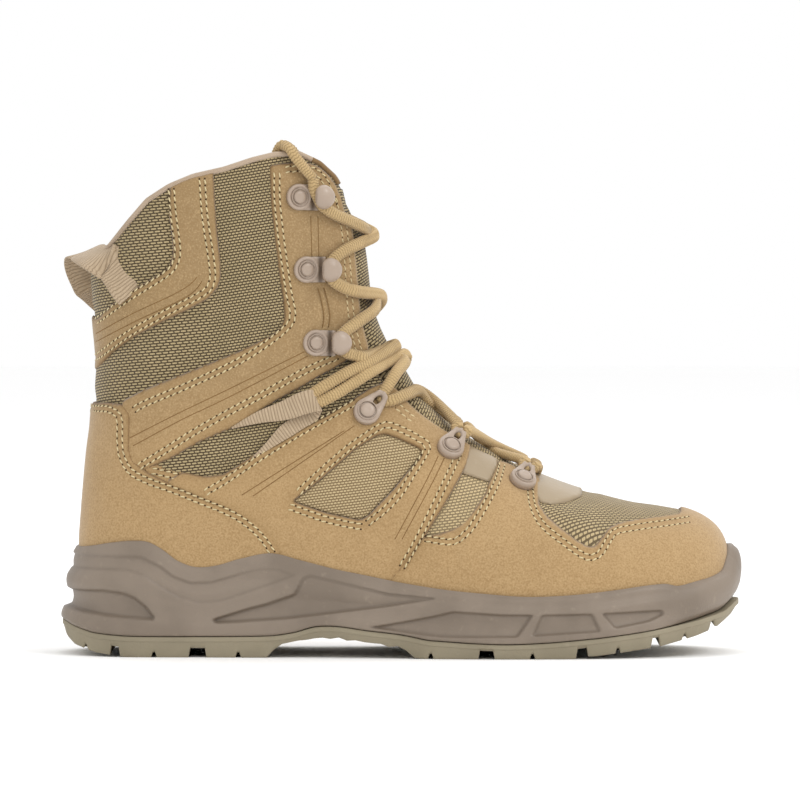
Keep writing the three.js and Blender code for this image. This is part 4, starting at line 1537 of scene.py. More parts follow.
@dataclass
class Strand:
    """A cord or strip swept along a route over the skin."""

    name: str
    route: Array
    normals: Array
    width: float
    height: float
    sides: int = 12
    step: float = 0.55
    rib: float = 0.05
    square: float = 1.0
    widths: Array | None = None

    def bulge(self, wave: Array) -> Array:
        """A sine or cosine, squared up for a flatter strand."""
        return np.sign(wave) * np.abs(wave) ** self.square

    def mesh(self) -> BMesh:
        """The swept mesh, closed at its ends.

        Returns:
            The mesh.
        """
        run = lengths(self.route)
        count = int(run[-1] / self.step)
        bm, u, v = Form.grid(self.sides, count + 4)
        k = np.rint(v * (count + 4)).astype(int)
        at = np.clip((k - 2) / count, 0, 1) * run[-1]
        pinch = np.interp(np.minimum(k, count + 4 - k), (0, 1, 2), (0.0, 0.75, 1.0))

        def read(a: Array, s: Array) -> Array:
            """Rows of an array at lengths along the route."""
            return np.stack([np.interp(s, run, a[:, j]) for j in range(3)], 1)

        middle = read(self.route, at)
        ahead, behind = np.minimum(at + 0.8, run[-1]), np.maximum(at - 0.8, 0)
        way = unit(read(self.route, ahead) - read(self.route, behind))
        up = read(self.normals, at)
        up = unit(up - way * (up * way).sum(1, keepdims=True))
        across = np.cross(way, up)
        turn = u * 2 * np.pi
        ribs = 1 + self.rib * np.where(k % 2 == 0, 1, -1)
        cosine, sine = np.cos(turn), np.sin(turn)
        wide = 1 if self.widths is None else np.interp(at, run, self.widths)
        a = self.bulge(cosine) * self.width / 2 * pinch * ribs * wide
        b = self.bulge(sine) * self.height / 2 * pinch * ribs
        Form.put(bm, middle + across * a[:, None] + up * b[:, None])
        Form.map(bm, u * np.pi * (self.width + self.height) / 2, at)
        return Form.close(bm)


@dataclass
class Upper:
    """The mesh body of the boot with its suede panels."""

    skin: Skin
    mesh: Finish
    suede: Finish
    lining: Finish
    wall: float = 2.4

    def body(self) -> None:
        """The padded mesh body with its lining."""
        corners = LAST.outline(COLLAR_LINE + BODY_LINE)
        cover = Cover(self.skin, "upper", corners, top=0.0, roll=0.4, step=2.1, first=0.02,
                      puffed=True, plain_edges=True)
        bm = cover.mesh()
        x = np.array([v.co.x / MM for v in bm.verts])
        front, toe = np.clip((x - 6) / 8, 0, 1), np.clip((x - 46) / 8, 0, 1)
        Form.marks(bm, "pale", front * (1 - 0.6 * toe))
        obj = Form.piece("upper_body", bm, self.mesh, "upper_mesh", ["upper"])
        Form.thicken(obj, self.wall, self.lining)

    def panels(self) -> None:
        """The suede panels."""
        both, lateral, medial = tuple(Side), (Side.LATERAL,), (Side.MEDIAL,)
        window = LAST.outline(WINDOW_LINE)
        above = LAST.outline(COLLAR_LINE[3:] + [(0.8, 1.5), (0.8, 2.6), (-0.1, 2.6), (-0.1, 1.6)])
        head = seen_line((240, 168), (272, 167), (285, 164.5), (300, 163.5), (312, 164), (322, 168),
                         (331, 175.5), (338, 186), (343, 198), (347.5, 214), (420, 230), (420, 120),
                         (240, 120))
        for name, corners, top, holes, sides in (
            ("heel_counter", COUNTER_LINE, 2.3, (), both),
            ("rear_strap", STRAP_LINE, 1.6, (above,), both),
            ("toe_rand", RAND_LINE, 1.4, (), both),
            ("eyestay_lateral", EYESTAY_LINE, 1.5, (head,), lateral),
            ("eyestay_medial", EYESTAY_LINE, 1.5, (head,), medial),
            ("quarter_lateral", QUARTER_LINE, 1.9, (window,), lateral),
            ("quarter_medial", QUARTER_LINE, 1.9, (window,), medial),
        ):
            cover = Cover(self.skin, name, LAST.outline(corners), top=top, holes=holes, sides=sides)
            obj = Form.piece(name + "_suede", cover.mesh(), self.suede, "suede", [name])
            Form.thicken(obj, top + 0.4)


RIM_LINE = Table("x z", [
    (0, 0.93), (0.02, 0.94), (0.08, 0.985), (0.115, 1), (0.135, 0.985), (0.155, 0.92),
    (0.175, 0.83), (0.2, 0.775), (0.23, 0.785), (0.265, 0.845), (0.31, 0.895), (0.35, 0.84),
    (0.4, 0.765), (0.45, 0.705), (0.5, 0.645), (0.56, 0.59), (0.62, 0.555), (0.68, 0.53),
    (0.74, 0.54), (0.8, 0.575), (0.885, 0.63), (0.91, 0.61), (0.94, 0.645), (0.965, 0.68),
    (0.983, 0.73), (0.994, 0.85), (1, 0.94),
])
JOIN_LINE = Table("x z", [
    (0, 0.31), (0.02, 0.262), (0.05, 0.213), (0.1, 0.188), (0.2, 0.186), (0.31, 0.194),
    (0.345, 0.225), (0.375, 0.275), (0.405, 0.28), (0.45, 0.245), (0.5, 0.212), (0.54, 0.165),
    (0.64, 0.133), (0.71, 0.145), (0.78, 0.18), (0.83, 0.215), (0.88, 0.26), (0.935, 0.325),
    (0.975, 0.39), (1, 0.48),
])
TREAD_LINE = Table("x z", [
    (0, 0.23), (0.006, 0.15), (0.018, 0.095), (0.05, 0.037), (0.097, 0), (0.308, 0), (0.32, 0.11),
    (0.362, 0.165), (0.402, 0.185), (0.445, 0.145), (0.5, 0.105), (0.52, 0), (0.747, 0),
    (0.818, 0.05), (0.878, 0.1), (0.933, 0.18), (0.965, 0.245), (0.99, 0.35), (1, 0.42),
])
# How far the midsole's side lies inside its widest line, in shares of the lip
SIDE_SHAPE = Table("level heel middle toe", [
    (0, 0.14, 0.1, 0.75), (0.06, 0.12, 0.1, 0.6), (0.155, 0.3, 0.12, 0.36), (0.22, 0.62, 0.2, 0.25),
    (0.31, 0.72, 0.28, 0.12), (0.42, 0.62, 0.3, 0.05), (0.53, 0.52, 0.25, 0), (0.62, 0.62, 0.22, 0),
    (0.7, 0.88, 0.3, 0.02), (0.82, 0.9, 0.42, 0.12), (0.92, 1.05, 0.46, 0.3), (1, 1.3, 0.56, 0.65),
])
RECESS_SHAPES = (
    (0.9, ((40, 552), (144, 553), (163, 562), (176, 572), (193, 578.4), (214, 577.7), (255, 565.6),
           (267, 564), (280, 564.5), (298, 571), (267, 582), (235, 593.5), (221, 597.5),
           (202, 598.8), (182.5, 594.3), (163.4, 583.5), (146.8, 572), (131.5, 567), (40, 567))),
    (1.7, ((40, 588), (106, 586.7), (126.4, 589.2), (137.9, 593.7), (149.4, 602.6), (158.3, 614.1),
           (155.8, 615.6), (106, 611.5), (80.5, 607.7), (40, 600))),
    (1.9, ((215, 614.7), (255, 602.6), (267, 599.8), (296, 589.6), (304, 573), (311.5, 570.5),
           (350, 579.4), (388, 588.4), (435, 593), (388, 601), (337, 607.5), (286, 614),
           (235, 617.7), (217, 618.5))),
    (1.4, ((370, 621.5), (401, 616.4), (435, 610), (452, 605.5), (501, 608.7), (531, 608.7),
           (515.5, 630.8), (446, 631), (425, 629), (394, 625))),
    (1.2, ((539.7, 608.7), (589.2, 608), (597.6, 625.5), (530.3, 629.7))),
    (1.2, ((598.7, 607.6), (658.7, 605.1), (660.8, 609.7), (646, 616), (612.4, 622.4))),
)
GROOVE_LIST = (
    (0.037, 0.007, 0.3), (0.083, 0.016, 1), (0.142, 0.008, 0.3), (0.205, 0.026, 1),
    (0.264, 0.008, 0.3), (0.542, 0.008, 0.3), (0.623, 0.024, 1), (0.69, 0.008, 0.3),
    (0.762, 0.018, 1), (0.815, 0.008, 0.3), (0.871, 0.014, 1), (0.915, 0.008, 0.3),
    (0.958, 0.01, 1),
)
CHANNEL_LIST = ((0.1, 0.3), (0.53, 0.9))
ARCH_RIBS = (309.6, 330, 348.5, 367.7, 388)


@dataclass
class Sole:
    """Midsole, outsole and footbed."""

    foam: Finish
    rubber: Finish
    cloth: Finish
    height: float = 51.0
    lip: float = 5.6
    heel_end: float = 0.14
    heel_power: float = 2.3
    groove_depth: float = 4.2
    channel: float = 7.0

    def edge(self, w: Array, inset: Array) -> tuple[Array, Array, Array]:
        """The outline of the sole from above.

        Args:
            w: way round from the heel along the lateral side, 0 to 1.
            inset: how far inside the widest line, in millimetres.

        Returns:
            Share of the length, and x and y.
        """
        def at(w: Array) -> tuple[Array, Array, Array]:
            """The widest line.

            Args:
                w: way round.

            Returns:
                Share of the length, and x and y.
            """
            w = np.mod(w, 1)
            share = 0.5 - 0.5 * np.cos(np.pi * np.where(w < 0.5, 2 * w, 2 - 2 * w))
            centre, half = LAST.plan(share)
            toe = Last.rounded(share, LAST.toe_start, 1, LAST.toe_power)
            heel = Last.rounded(share, self.heel_end, 0, self.heel_power)
            reach = (half + self.lip) * toe * heel
            return share, LAST.along(share), centre + np.where(w < 0.5, -1, 1) * reach

        share, x, y = at(w)
        step = 0.002
        dx, dy = (b - a for a, b in zip(at(w - step)[1:], at(w + step)[1:]))
        size = np.maximum(np.hypot(dx, dy), 1e-9)
        return share, x - dy / size * inset, y + dx / size * inset

    def line(self, rows: Table, share: Array) -> Array:
        """Height of a side line at shares of the length."""
        return rows.smooth("z", rows.place("x", share)) * self.height

    def midsole(self) -> None:
        """The foam cup with its moulded relief."""
        levels, around = 56, 1040
        bm, u, v = Form.grid(around, levels)
        k = np.rint(v * levels).astype(int) % levels
        body = levels - 6
        level = np.clip((k - 1) / body, 0, 1)
        share, _, _ = self.edge(u, np.zeros(len(u)))
        step = SIDE_SHAPE.place("level", level)
        heel, toe = np.clip(1 - share / 0.16, 0, 1), np.clip((share - 0.84) / 0.12, 0, 1)
        heel, toe = ease(heel), ease(toe)
        side = SIDE_SHAPE.smooth("middle", step) * (1 - heel - toe)
        side = side + SIDE_SHAPE.smooth("heel", step) * heel + SIDE_SHAPE.smooth("toe", step) * toe
        side = side * self.lip
        low, high = self.line(JOIN_LINE, share), self.line(RIM_LINE, share)
        z = low + (high - low) * level
        _, x, y = self.edge(u, side)
        view = np.stack([x, z], 1)
        relief, groove = np.zeros(len(u)), np.zeros(len(u))
        on_side = (k >= 2) & (k <= body)
        for depth, corners in RECESS_SHAPES:
            gap = np.full(len(u), -9.0)
            gap[on_side] = Outline(seen_line(*corners), 1.8).nearest(view[on_side])[1]
            t = np.clip(gap / 1.1 + 0.4, 0, 1)
            relief = np.maximum(relief, 1.25 * depth * ease(t))
            # Painted shade along the edge of each recess, darker for deeper recesses
            groove = np.maximum(groove, np.exp(-(((gap - 0.4) / 0.8) ** 2)) * depth / 1.6)
        tip = np.clip(1 - share / 0.1, 0, 1) ** 2 * 4.4
        inner = self.lip + 1.7 + tip
        at = [k == ring for ring in (0, 1, body + 2, body + 3, body + 4, body + 5)]
        rims = [inner + 6, side + 0.5, side + 0.5, np.minimum(side + 1.2, inner - 0.4), inner,
                inner + 0.8]
        inset = np.select(at, rims, side + relief)
        tops = [low, z, high + 0.35, high + 0.5, high + 0.3, low + 0.55 * (high - low)]
        z = np.select(at, tops, z)
        _, x, y = self.edge(u, inset)
        for side_of, mine in ((Side.LATERAL, u < 0.5), (Side.MEDIAL, u >= 0.5)):
            mine = mine & (k >= 1) & (k <= body + 3) & (share > 0.04) & (share < 0.95)
            skin = LAST.over(*LAST.find(np.stack([x, z], 1)[mine], side_of), 2.8)[:, 1]
            y[mine] = side_of.value * np.maximum(side_of.value * y[mine], side_of.value * skin)
        Form.put(bm, np.stack([x, y, z], 1))
        Form.map(bm, u * 700, z)
        Form.marks(bm, "groove", groove)
        Form.piece("midsole_foam", Form.close(bm), self.foam, "midsole_foam", ["midsole"])

    def outsole(self) -> None:
        """The rubber outsole with its lugs."""
        slope = 0.0025
        stops = set(np.round(0.5 - 0.5 * np.cos(np.pi * np.linspace(0, 1, 130)), 5))
        for x, width, _ in GROOVE_LIST:
            for way in (-1, 1):
                stops |= {round(x + way * (width / 2 - slope), 5), round(x + way * width / 2, 5)}
        stops = np.array(sorted(s for s in stops if 0 <= s <= 1))
        keep = np.concatenate([[True], np.diff(stops) > 0.0006]) & (stops < 0.9994)
        stops = np.append(stops[keep], 1.0)
        across = [0.0, 0.06, 0.14, 0.22, 0.3, 0.302, 0.4, 0.46, 0.465, 0.535, 0.54, 0.6, 0.698, 0.7,
                  0.78, 0.86, 0.94, 1.0]
        loop = [("top", 0.35, 6.0), ("top", 0.35, 1.4), ("side", 0.9, 1.2), ("side", 2.4, 1.2),
                ("side", 2.7, 1.6), ("low", 1.0, 2.0)]
        count = 2 * len(loop) + len(across)
        bm, u, v = Form.grid(count, len(stops) - 1)
        k = np.rint(u * count).astype(int) % count
        share = stops[np.rint(v * (len(stops) - 1)).astype(int)]
        w = np.arccos(1 - 2 * share) / np.pi / 2
        top = self.line(JOIN_LINE, share)
        tread = np.maximum(TREAD_LINE.straight("z", "x", share), 0) * self.height
        for rib in ARCH_RIBS:
            x = seen(rib, 0)[0]
            tread = tread - 0.9 * np.exp(-(((LAST.along(share) - x) / 1.5) ** 2))
        first, last = len(loop), len(loop) + len(across)
        q = np.array([0.0] * first + across + [1.0] * first)[k]
        cut = np.zeros(len(u))
        for x, width, reach in GROOVE_LIST:
            wall = np.clip((width / 2 - np.abs(share - x)) / slope, 0, 1)
            inside = np.ones(len(u)) if reach == 1 else (np.minimum(q, 1 - q) < 0.15).astype(float)
            depth = self.groove_depth if reach == 1 else self.groove_depth * 0.55
            cut = np.maximum(cut, wall * inside * depth)
        for start, stop in CHANNEL_LIST:
            inside = (share > start) & (share < stop) & (np.abs(q - 0.5) < 0.036)
            cut = np.maximum(cut, inside * self.groove_depth)
        flat = np.minimum(tread + cut, top - 3.2)
        mirror = np.where(k >= last, count - 1 - k, k)
        z, inset = np.empty(len(u)), np.empty(len(u))
        for i, (kind, rise, depth) in enumerate(loop):
            mine = mirror == i
            levels = {"top": top - rise, "side": np.maximum(top - rise, flat + 1),
                      "low": flat + rise}
            level = levels[kind]
            z[mine], inset[mine] = level[mine], depth
        bottom = (k >= first) & (k < last)
        z[bottom] = flat[bottom]
        inset[bottom] = 2.7
        _, xl, yl = self.edge(w, inset)
        _, xr, yr = self.edge(1 - w, inset)
        x, y = xl + (xr - xl) * q, yl + (yr - yl) * q
        Form.put(bm, np.stack([x, y, np.maximum(z, 0)], 1))
        Form.map(bm, x, y)
        obj = Form.piece("outsole_rubber", Form.close(bm), self.rubber, "outsole_rubber",
                         ["outsole"], smooth=False)
        soft = obj.modifiers.new("Edges", "BEVEL")
        soft.width = 0.35 * MM
        soft.segments = 2
        soft.limit_method = "ANGLE"
        soft.angle_limit = math.radians(38)
        obj.data.shade_smooth()
        obj.data.set_sharp_from_angle(angle=math.radians(50))

    def footbed(self) -> None:
        """The footbed inside the upper."""
        floor = Table("x z", [(0, 0.43), (0.28, 0.42), (0.4, 0.405), (0.53, 0.34), (0.65, 0.29),
                              (0.74, 0.29), (0.85, 0.34), (0.94, 0.43), (1, 0.52)])
        bm, u, v = Form.grid(30, 110)
        share = 0.045 + (0.5 - 0.5 * np.cos(np.pi * v)) * 0.915
        centre, half = LAST.plan(share)
        toe = Last.rounded(share, 0.7, 0.96, 2.2)
        heel = Last.rounded(share, 0.17, 0.045, 2.2)
        y = centre + (2 * u - 1) * (half * 0.93 - 3) * toe * heel
        z = self.line(floor, share) + 4.3
        z = z + 1.6 * np.abs(2 * u - 1) ** 3
        Form.put(bm, np.stack([LAST.along(share), y, z], 1))
        Form.map(bm, LAST.along(share), y)
        bmesh.ops.remove_doubles(bm, verts=bm.verts, dist=0.01 * MM)
        obj = Form.piece("footbed", bm, self.cloth, "insole_fabric", ["insole"])
        Form.thicken(obj, 3.6)


@dataclass
class Tongue:
    """The padded tongue behind the laces."""

    skin: Skin
    mesh: Finish
    start: float = 5.9
    lap: float = 5.0
    wall: float = 3.0
    fill: float = 0.4

    def build(self) -> None:
        """Makes the tongue with a puffed face and a soft rolled edge."""
        columns, rows = 44, 200
        bm, u, v = Form.grid(columns, rows)
        outline = Outline(LAST.outline(TONGUE_LINE + [(0.6, 1.5), (1.2, 0.5), (0.3, 0.5)]), 3)
        centre_row = np.linspace(self.start, LAST.end, 400)
        ends = {}
        for column in np.unique(np.round(np.abs(2 * u - 1), 6)):
            points = self.points(centre_row, column, -2.7)
            inside = outline.nearest(points[:, (0, 2)])[1] > 0
            last = len(inside) - 1 - np.argmax(inside[::-1])
            ends[column] = centre_row[last]
        across = np.round(np.abs(2 * u - 1), 6)
        end = np.array([ends[c] for c in across])
        place = self.start + v * (end - self.start)
        total = np.maximum(self.skin.throat(place), 6) + self.lap
        inner = np.clip((total * (1 - across) - self.lap) / 8, 0, 1)
        rim = (1 - v) * 90
        roll = np.sqrt(1 - (1 - np.clip(rim / 4, 0, 1)) ** 2)
        rise = np.interp(place, (6.1, 7.0, 10.5, 12.0, 13.5, 15.5), (0, 3.8, 3.8, 4.0, 3.2, 1.3))
        lift = -4.4 + 0.9 * roll + rise * np.sin(inner * np.pi / 2) * (0.4 + 0.6 * roll)
        points = self.points(place, across, lift, np.sign(2 * u - 1))
        Form.put(bm, points)
        run = lengths(LAST.skin(centre_row, np.full(400, np.pi)))
        Form.map(bm, points[:, 1], np.interp(place, centre_row, run))
        Form.marks(bm, "pale", np.clip((points[:, 0] - 6) / 8, 0, 1) * 0.4)
        Form.marks(bm, "rim", rim)
        Form.marks(bm, "seam", np.zeros(len(u)))
        bm.normal_update()
        if sum(f.normal.x for f in bm.faces) < 0:
            bmesh.ops.reverse_faces(bm, faces=bm.faces)
        obj = Form.piece("tongue_padded", bm, self.mesh, "tongue_mesh", ["tongue"])
        Form.thicken(obj, self.wall)

    def points(self, place: Array, across: Array, lift: Array, side: Array | int = 1) -> Array:
        """Points over the front of the last.

        Args:
            place: sections.
            across: 0 at the middle and 1 at the edge of the tongue.
            lift: heights over the skin.
            side: 1 for the inner side of the foot and -1 for the other.

        Returns:
            The points.
        """
        s = LAST.section(place)
        reach = (np.maximum(self.skin.throat(place), 6) + self.lap) * across
        sine = np.clip(reach / s["half"], 0, 1) ** (s["front"] / 2)
        angle = np.pi - np.arcsin(sine)
        whole = np.where(np.asarray(side) > 0, 2 * np.pi - angle, angle)
        return LAST.over(place, whole, lift)


# Where each stands and where it points, in shares of the last
HOOK_PLACES = (
    (0.35, 1.795, 0.385, 1.79), (0.361, 1.467, 0.395, 1.467), (0.3745, 1.131, 0.4095, 1.127),
)
HOOK_REACHES = (9.9, 9.7, 10.0)
EYELET_PLACES = (
    (0.449, 0.852, 0.475, 0.915), (0.569, 0.719, 0.582, 0.765), (0.674, 0.603, 0.681, 0.635),
)


@dataclass
class Hardware:
    """Speed hooks and riveted eyelets."""

    metal: Finish
    base: float = 5.9
    reach: float = 10.9
    ball: float = 5.1
    rise: float = 5.9
    plate: float = 1.6

    @staticmethod
    def seat(place: Four, side: Side, lift: float = 1.7) -> Matrix:
        """The frame of a piece on the skin, in millimetres.

        Args:
            place: where it stands and where it points.
            side: which side of the boot.
            lift: height over the skin.

        Returns:
            The frame.
        """
        points = LAST.outline([place[:2], place[2:]])
        section, angle = LAST.find(points, side)
        spots = LAST.over(section, angle, lift)
        up = Vector(LAST.outward(section, angle)[0])
        forward = Vector(spots[1] - spots[0])
        forward = (forward - up * forward.dot(up)).normalized()
        across = up.cross(forward)
        turn = Matrix((forward, across, up)).transposed().to_4x4()
        turn.translation = Vector(spots[0])
        return turn

    @staticmethod
    def turned(profile: Sequence[Point2], sides: int = 32) -> BMesh:
        """A turned shape from radii and heights.

        Args:
            profile: the radii and heights.
            sides: steps around.

        Returns:
            The mesh.
        """
        bm = bmesh.new()
        verts = [bm.verts.new((r, 0, z)) for r, z in profile]
        for a, b in zip(verts, verts[1:]):
            bm.edges.new((a, b))
        bmesh.ops.spin(
            bm, geom=bm.verts[:] + bm.edges[:], cent=(0, 0, 0), axis=(0, 0, 1), dvec=(0, 0, 0),
            angle=2 * math.pi, steps=sides, use_merge=True,
        )
        return Form.close(bm, 0.01)

    @staticmethod
    def gather(parts: Sequence[BMesh], turn: Matrix, shadow: Callable[..., Array]) -> BMesh:
        """Joins parts and puts them in their place, in metres.

        Args:
            parts: the parts.
            turn: frame of the piece.
            shadow: how dark a point is in its folds.

        Returns:
            The whole.
        """
        whole = Form.join(parts)
        x, y, z = np.array([v.co[:] for v in whole.verts]).T
        # Painted shade in the necks, slots and rivet rings, as a mark that darkens the finish
        Form.marks(whole, "groove", shadow(x, y, z))
        bmesh.ops.transform(whole, matrix=Matrix.Scale(MM, 4) @ turn, verts=whole.verts)
        return whole

    def rivet(self, radius: float, z: float) -> BMesh:
        """A rivet with a ring around its dome.

        Args:
            radius: radius of the dome.
            z: height of its foot.

        Returns:
            The mesh.
        """
        r = radius
        return self.turned([
            (0, z - 0.6), (r * 1.36, z - 0.6), (r * 1.36, z + 0.05), (r * 1.32, z + 0.3),
            (r * 1.22, z + 0.25), (r * 1.19, z - 0.55), (r, z - 0.55), (r * 0.98, z + 0.4),
            (r * 0.86, z + 0.85), (r * 0.55, z + 1.05), (r * 0.3, z + 1.05), (0, z + 0.95),
        ])

    def hook(self, turn: Matrix) -> BMesh:
        """A hook: ringed base, neck, post and rounded head.

        Args:
            turn: frame of the piece.

        Returns:
            The mesh.
        """
        r, h = self.base, self.plate
        base = self.turned([
            (0, -0.4), (r, -0.4), (r, h * 0.55), (r - 0.25, h * 0.9), (r - 0.7, h * 1.05),
            (r - 1.3, h * 0.95), (r - 1.6, h * 0.6), (0, h * 0.6),
        ], 40)
        neck = bmesh.new()
        bmesh.ops.create_cube(neck, size=1)
        bmesh.ops.subdivide_edges(neck, edges=neck.edges[:], cuts=9, use_grid_fill=True)
        bmesh.ops.scale(neck, verts=neck.verts, vec=(9.4, 11.4, 1.1))
        hard = [e for e in neck.edges if e.calc_face_angle(0) > 1]
        bmesh.ops.bevel(neck, geom=hard, offset=0.3, offset_type="OFFSET", segments=2,
                        profile=0.5, affect="EDGES", material=-1)
        bmesh.ops.translate(neck, verts=neck.verts, vec=(self.reach - 5.6, 0, 0.5))
        top = self.rise
        outline = [(0, 0), (2.3, 0), (1.8, 1.2), (1.8, top - 0.6), (2.6, top), (0, top)]
        post = self.turned(outline, 20)
        bmesh.ops.translate(post, verts=post.verts, vec=(self.reach - 1.0, 0, 0))
        head = bmesh.new()
        bmesh.ops.create_uvsphere(head, u_segments=32, v_segments=18, radius=1)
        for v in head.verts:
            x, y, z = v.co
            x = max(x, -0.86)
            squash = 1.0 - 0.1 * x
            high = z * self.ball * (0.62 if z > 0 else 0.3)
            v.co = (x * self.ball * 0.96, y * self.ball * 1.06 * squash, high)
        bmesh.ops.translate(head, verts=head.verts, vec=(self.reach, 0, self.rise))

        def shadow(x: Array, y: Array, z: Array) -> Array:
            """Dark in the neck and in the rivet's ring."""
            ring = np.clip(1.6 - np.abs(np.hypot(x, y) - 3.2) / 0.5, 0, 1) * (z < h * 0.6)
            return np.maximum(np.clip(1 - np.abs(x - 6.3) / 2.1, 0, 1) * (z < 2.2), ring)

        return self.gather([base, self.rivet(2.9, h * 0.75), neck, post, head], turn, shadow)

    def eyelet(self, turn: Matrix) -> BMesh:
        """An eyelet: a drop with a slot, a rivet and ribs at its loop.

        Args:
            turn: frame of the piece.

        Returns:
            The mesh.
        """
        around, h = 56, 3.0
        centre, r1, r2, reach = 6.9, 6.0, 3.5, 8.6
        profile = 8
        bm, u, v = Form.grid(around, profile)
        k = np.rint(v * profile).astype(int) % profile
        turn_round = u * 2 * np.pi
        way = np.stack([np.cos(turn_round), np.sin(turn_round)], 1)
        far = np.zeros(len(u))
        for t in np.linspace(0, 1, 24):
            x, radius = reach * t - centre, r1 + (r2 - r1) * t
            b = way[:, 0] * x
            inner = b**2 - x**2 + radius**2
            far = np.maximum(far, np.where(inner > 0, b + np.sqrt(np.maximum(inner, 0)), 0))
        slot = 1 / np.sqrt((way[:, 0] / 2.5) ** 2 + (way[:, 1] / 1.25) ** 2)
        at = [k == ring for ring in range(7)]
        reaches = [far, far, far - 0.25, far - 0.9, slot + 0.5, slot + 0.15, slot]
        radius = np.select(at, reaches, slot)
        z = np.select(at, [-0.4, h * 0.6, h * 0.88, h, h, h * 0.9, h * 0.5], -0.4)
        x = centre + way[:, 0] * radius
        ribs = np.where(x > reach - 0.4, 0.35 * np.cos((way[:, 1] * radius) * 2.6), 0)
        z = z + np.where((k >= 1) & (k <= 4), ribs + np.clip(x - 5, 0, 6) * 0.12, 0)
        Form.put(bm, np.stack([x, way[:, 1] * radius, z], 1) / MM)
        Form.close(bm, 0.005)

        def shadow(x: Array, y: Array, z: Array) -> Array:
            """Dark in the slot, its channel and the rivet's ring.

            Args:
                x: along the eyelet.
                y: across it.
                z: heights.

            Returns:
                The shadow, 0 to 1.
            """
            inside = np.hypot((x - centre) / 2.7, y / 1.45) < 1
            inside = inside * np.clip((h - z) / (h * 0.3), 0, 1)
            ring = np.clip(1.6 - np.abs(np.hypot(x, y) - 3.6) / 0.5, 0, 1) * (z < h + 0.1)
            return np.maximum(inside, ring)

        return self.gather([bm, self.rivet(3.3, h + 0.42)], turn, shadow)

    def build(self) -> None:
        """Sets every hook and eyelet on both sides."""
        for side in Side:
            word = side.name.lower()
            for kind, places, make in (
                ("hook", HOOK_PLACES, self.hook), ("eyelet", EYELET_PLACES, self.eyelet)
            ):
                for i, place in enumerate(places, 1):
                    self.reach = HOOK_REACHES[i - 1]
                    node = f"{kind}_{word}_{i}"
                    bm = make(self.seat(place, side))
                    Form.piece(node + "_fine", bm, self.metal, "hardware", [node])


# Each run on the lateral side as column, row and height over the skin; the last point of a
# leaving run and the first of an arriving one lie towards the front.
LEAVING = {
    1: ((313, 198, 5.0), (319, 208, 4.6), (331, 216, 4.2), (346, 223, 3.6), (360, 230, 2.6)),
    2: ((325, 271, 4.7), (330, 281, 4.3), (342, 288.5, 4.0), (354, 292, 3.4)),
    3: ((334.5, 342, 4.7), (339, 350, 4.3), (349, 355, 4.0), (363, 357, 3.4)),
    4: ((308, 396, 3.8), (316, 401, 3.8), (332, 394, 4.4), (351, 383, 4.4), (371, 371, 3.6)),
    5: ((383, 402, 2.2), (391, 402, 3.4), (403, 397, 3.2), (416, 393.5, 1.9)),
}
ARRIVING = {
    2: ((358, 243, 2.8), (342, 250, 3.8), (330.5, 258.5, 4.3), (325, 268, 4.7)),
    3: ((370, 310, 2.8), (356, 320, 4.0), (343, 330, 4.3), (334.5, 339, 4.7)),
    4: ((371, 360, 3.6), (346, 371, 4.4), (326, 383, 4.4), (314, 391, 3.8)),
    5: ((399, 366, 3.6), (392, 377, 4.0), (386, 388, 3.2), (381, 397, 2.2)),
}
LOOP_ROUTE = ((15.2, 3.4, 1.3), (12.8, 2.4, 1.2), (10.9, 0.9, 0.9))
CROSSING = {
    1: (366, 238), 2: (378, 296), 3: (386, 353), 4: (395, 362), 5: (433, 399), 6: (490, 444),
    7: (534.5, 467),
}
CROSSING_LIFTS = {1: -0.4, 2: -0.6, 3: -0.2, 4: 0.6, 5: 0.7, 6: 0.7}
LACE_END_ROUTE = (
    (0.366, 1.875, 4.4), (0.352, 1.93, 4.4), (0.34, 1.98, 4.4), (0.334, 2.02, 2.4),
    (0.33, 2.03, -2.6), (0.326, 1.985, -6), (0.322, 1.92, -6.4),
)


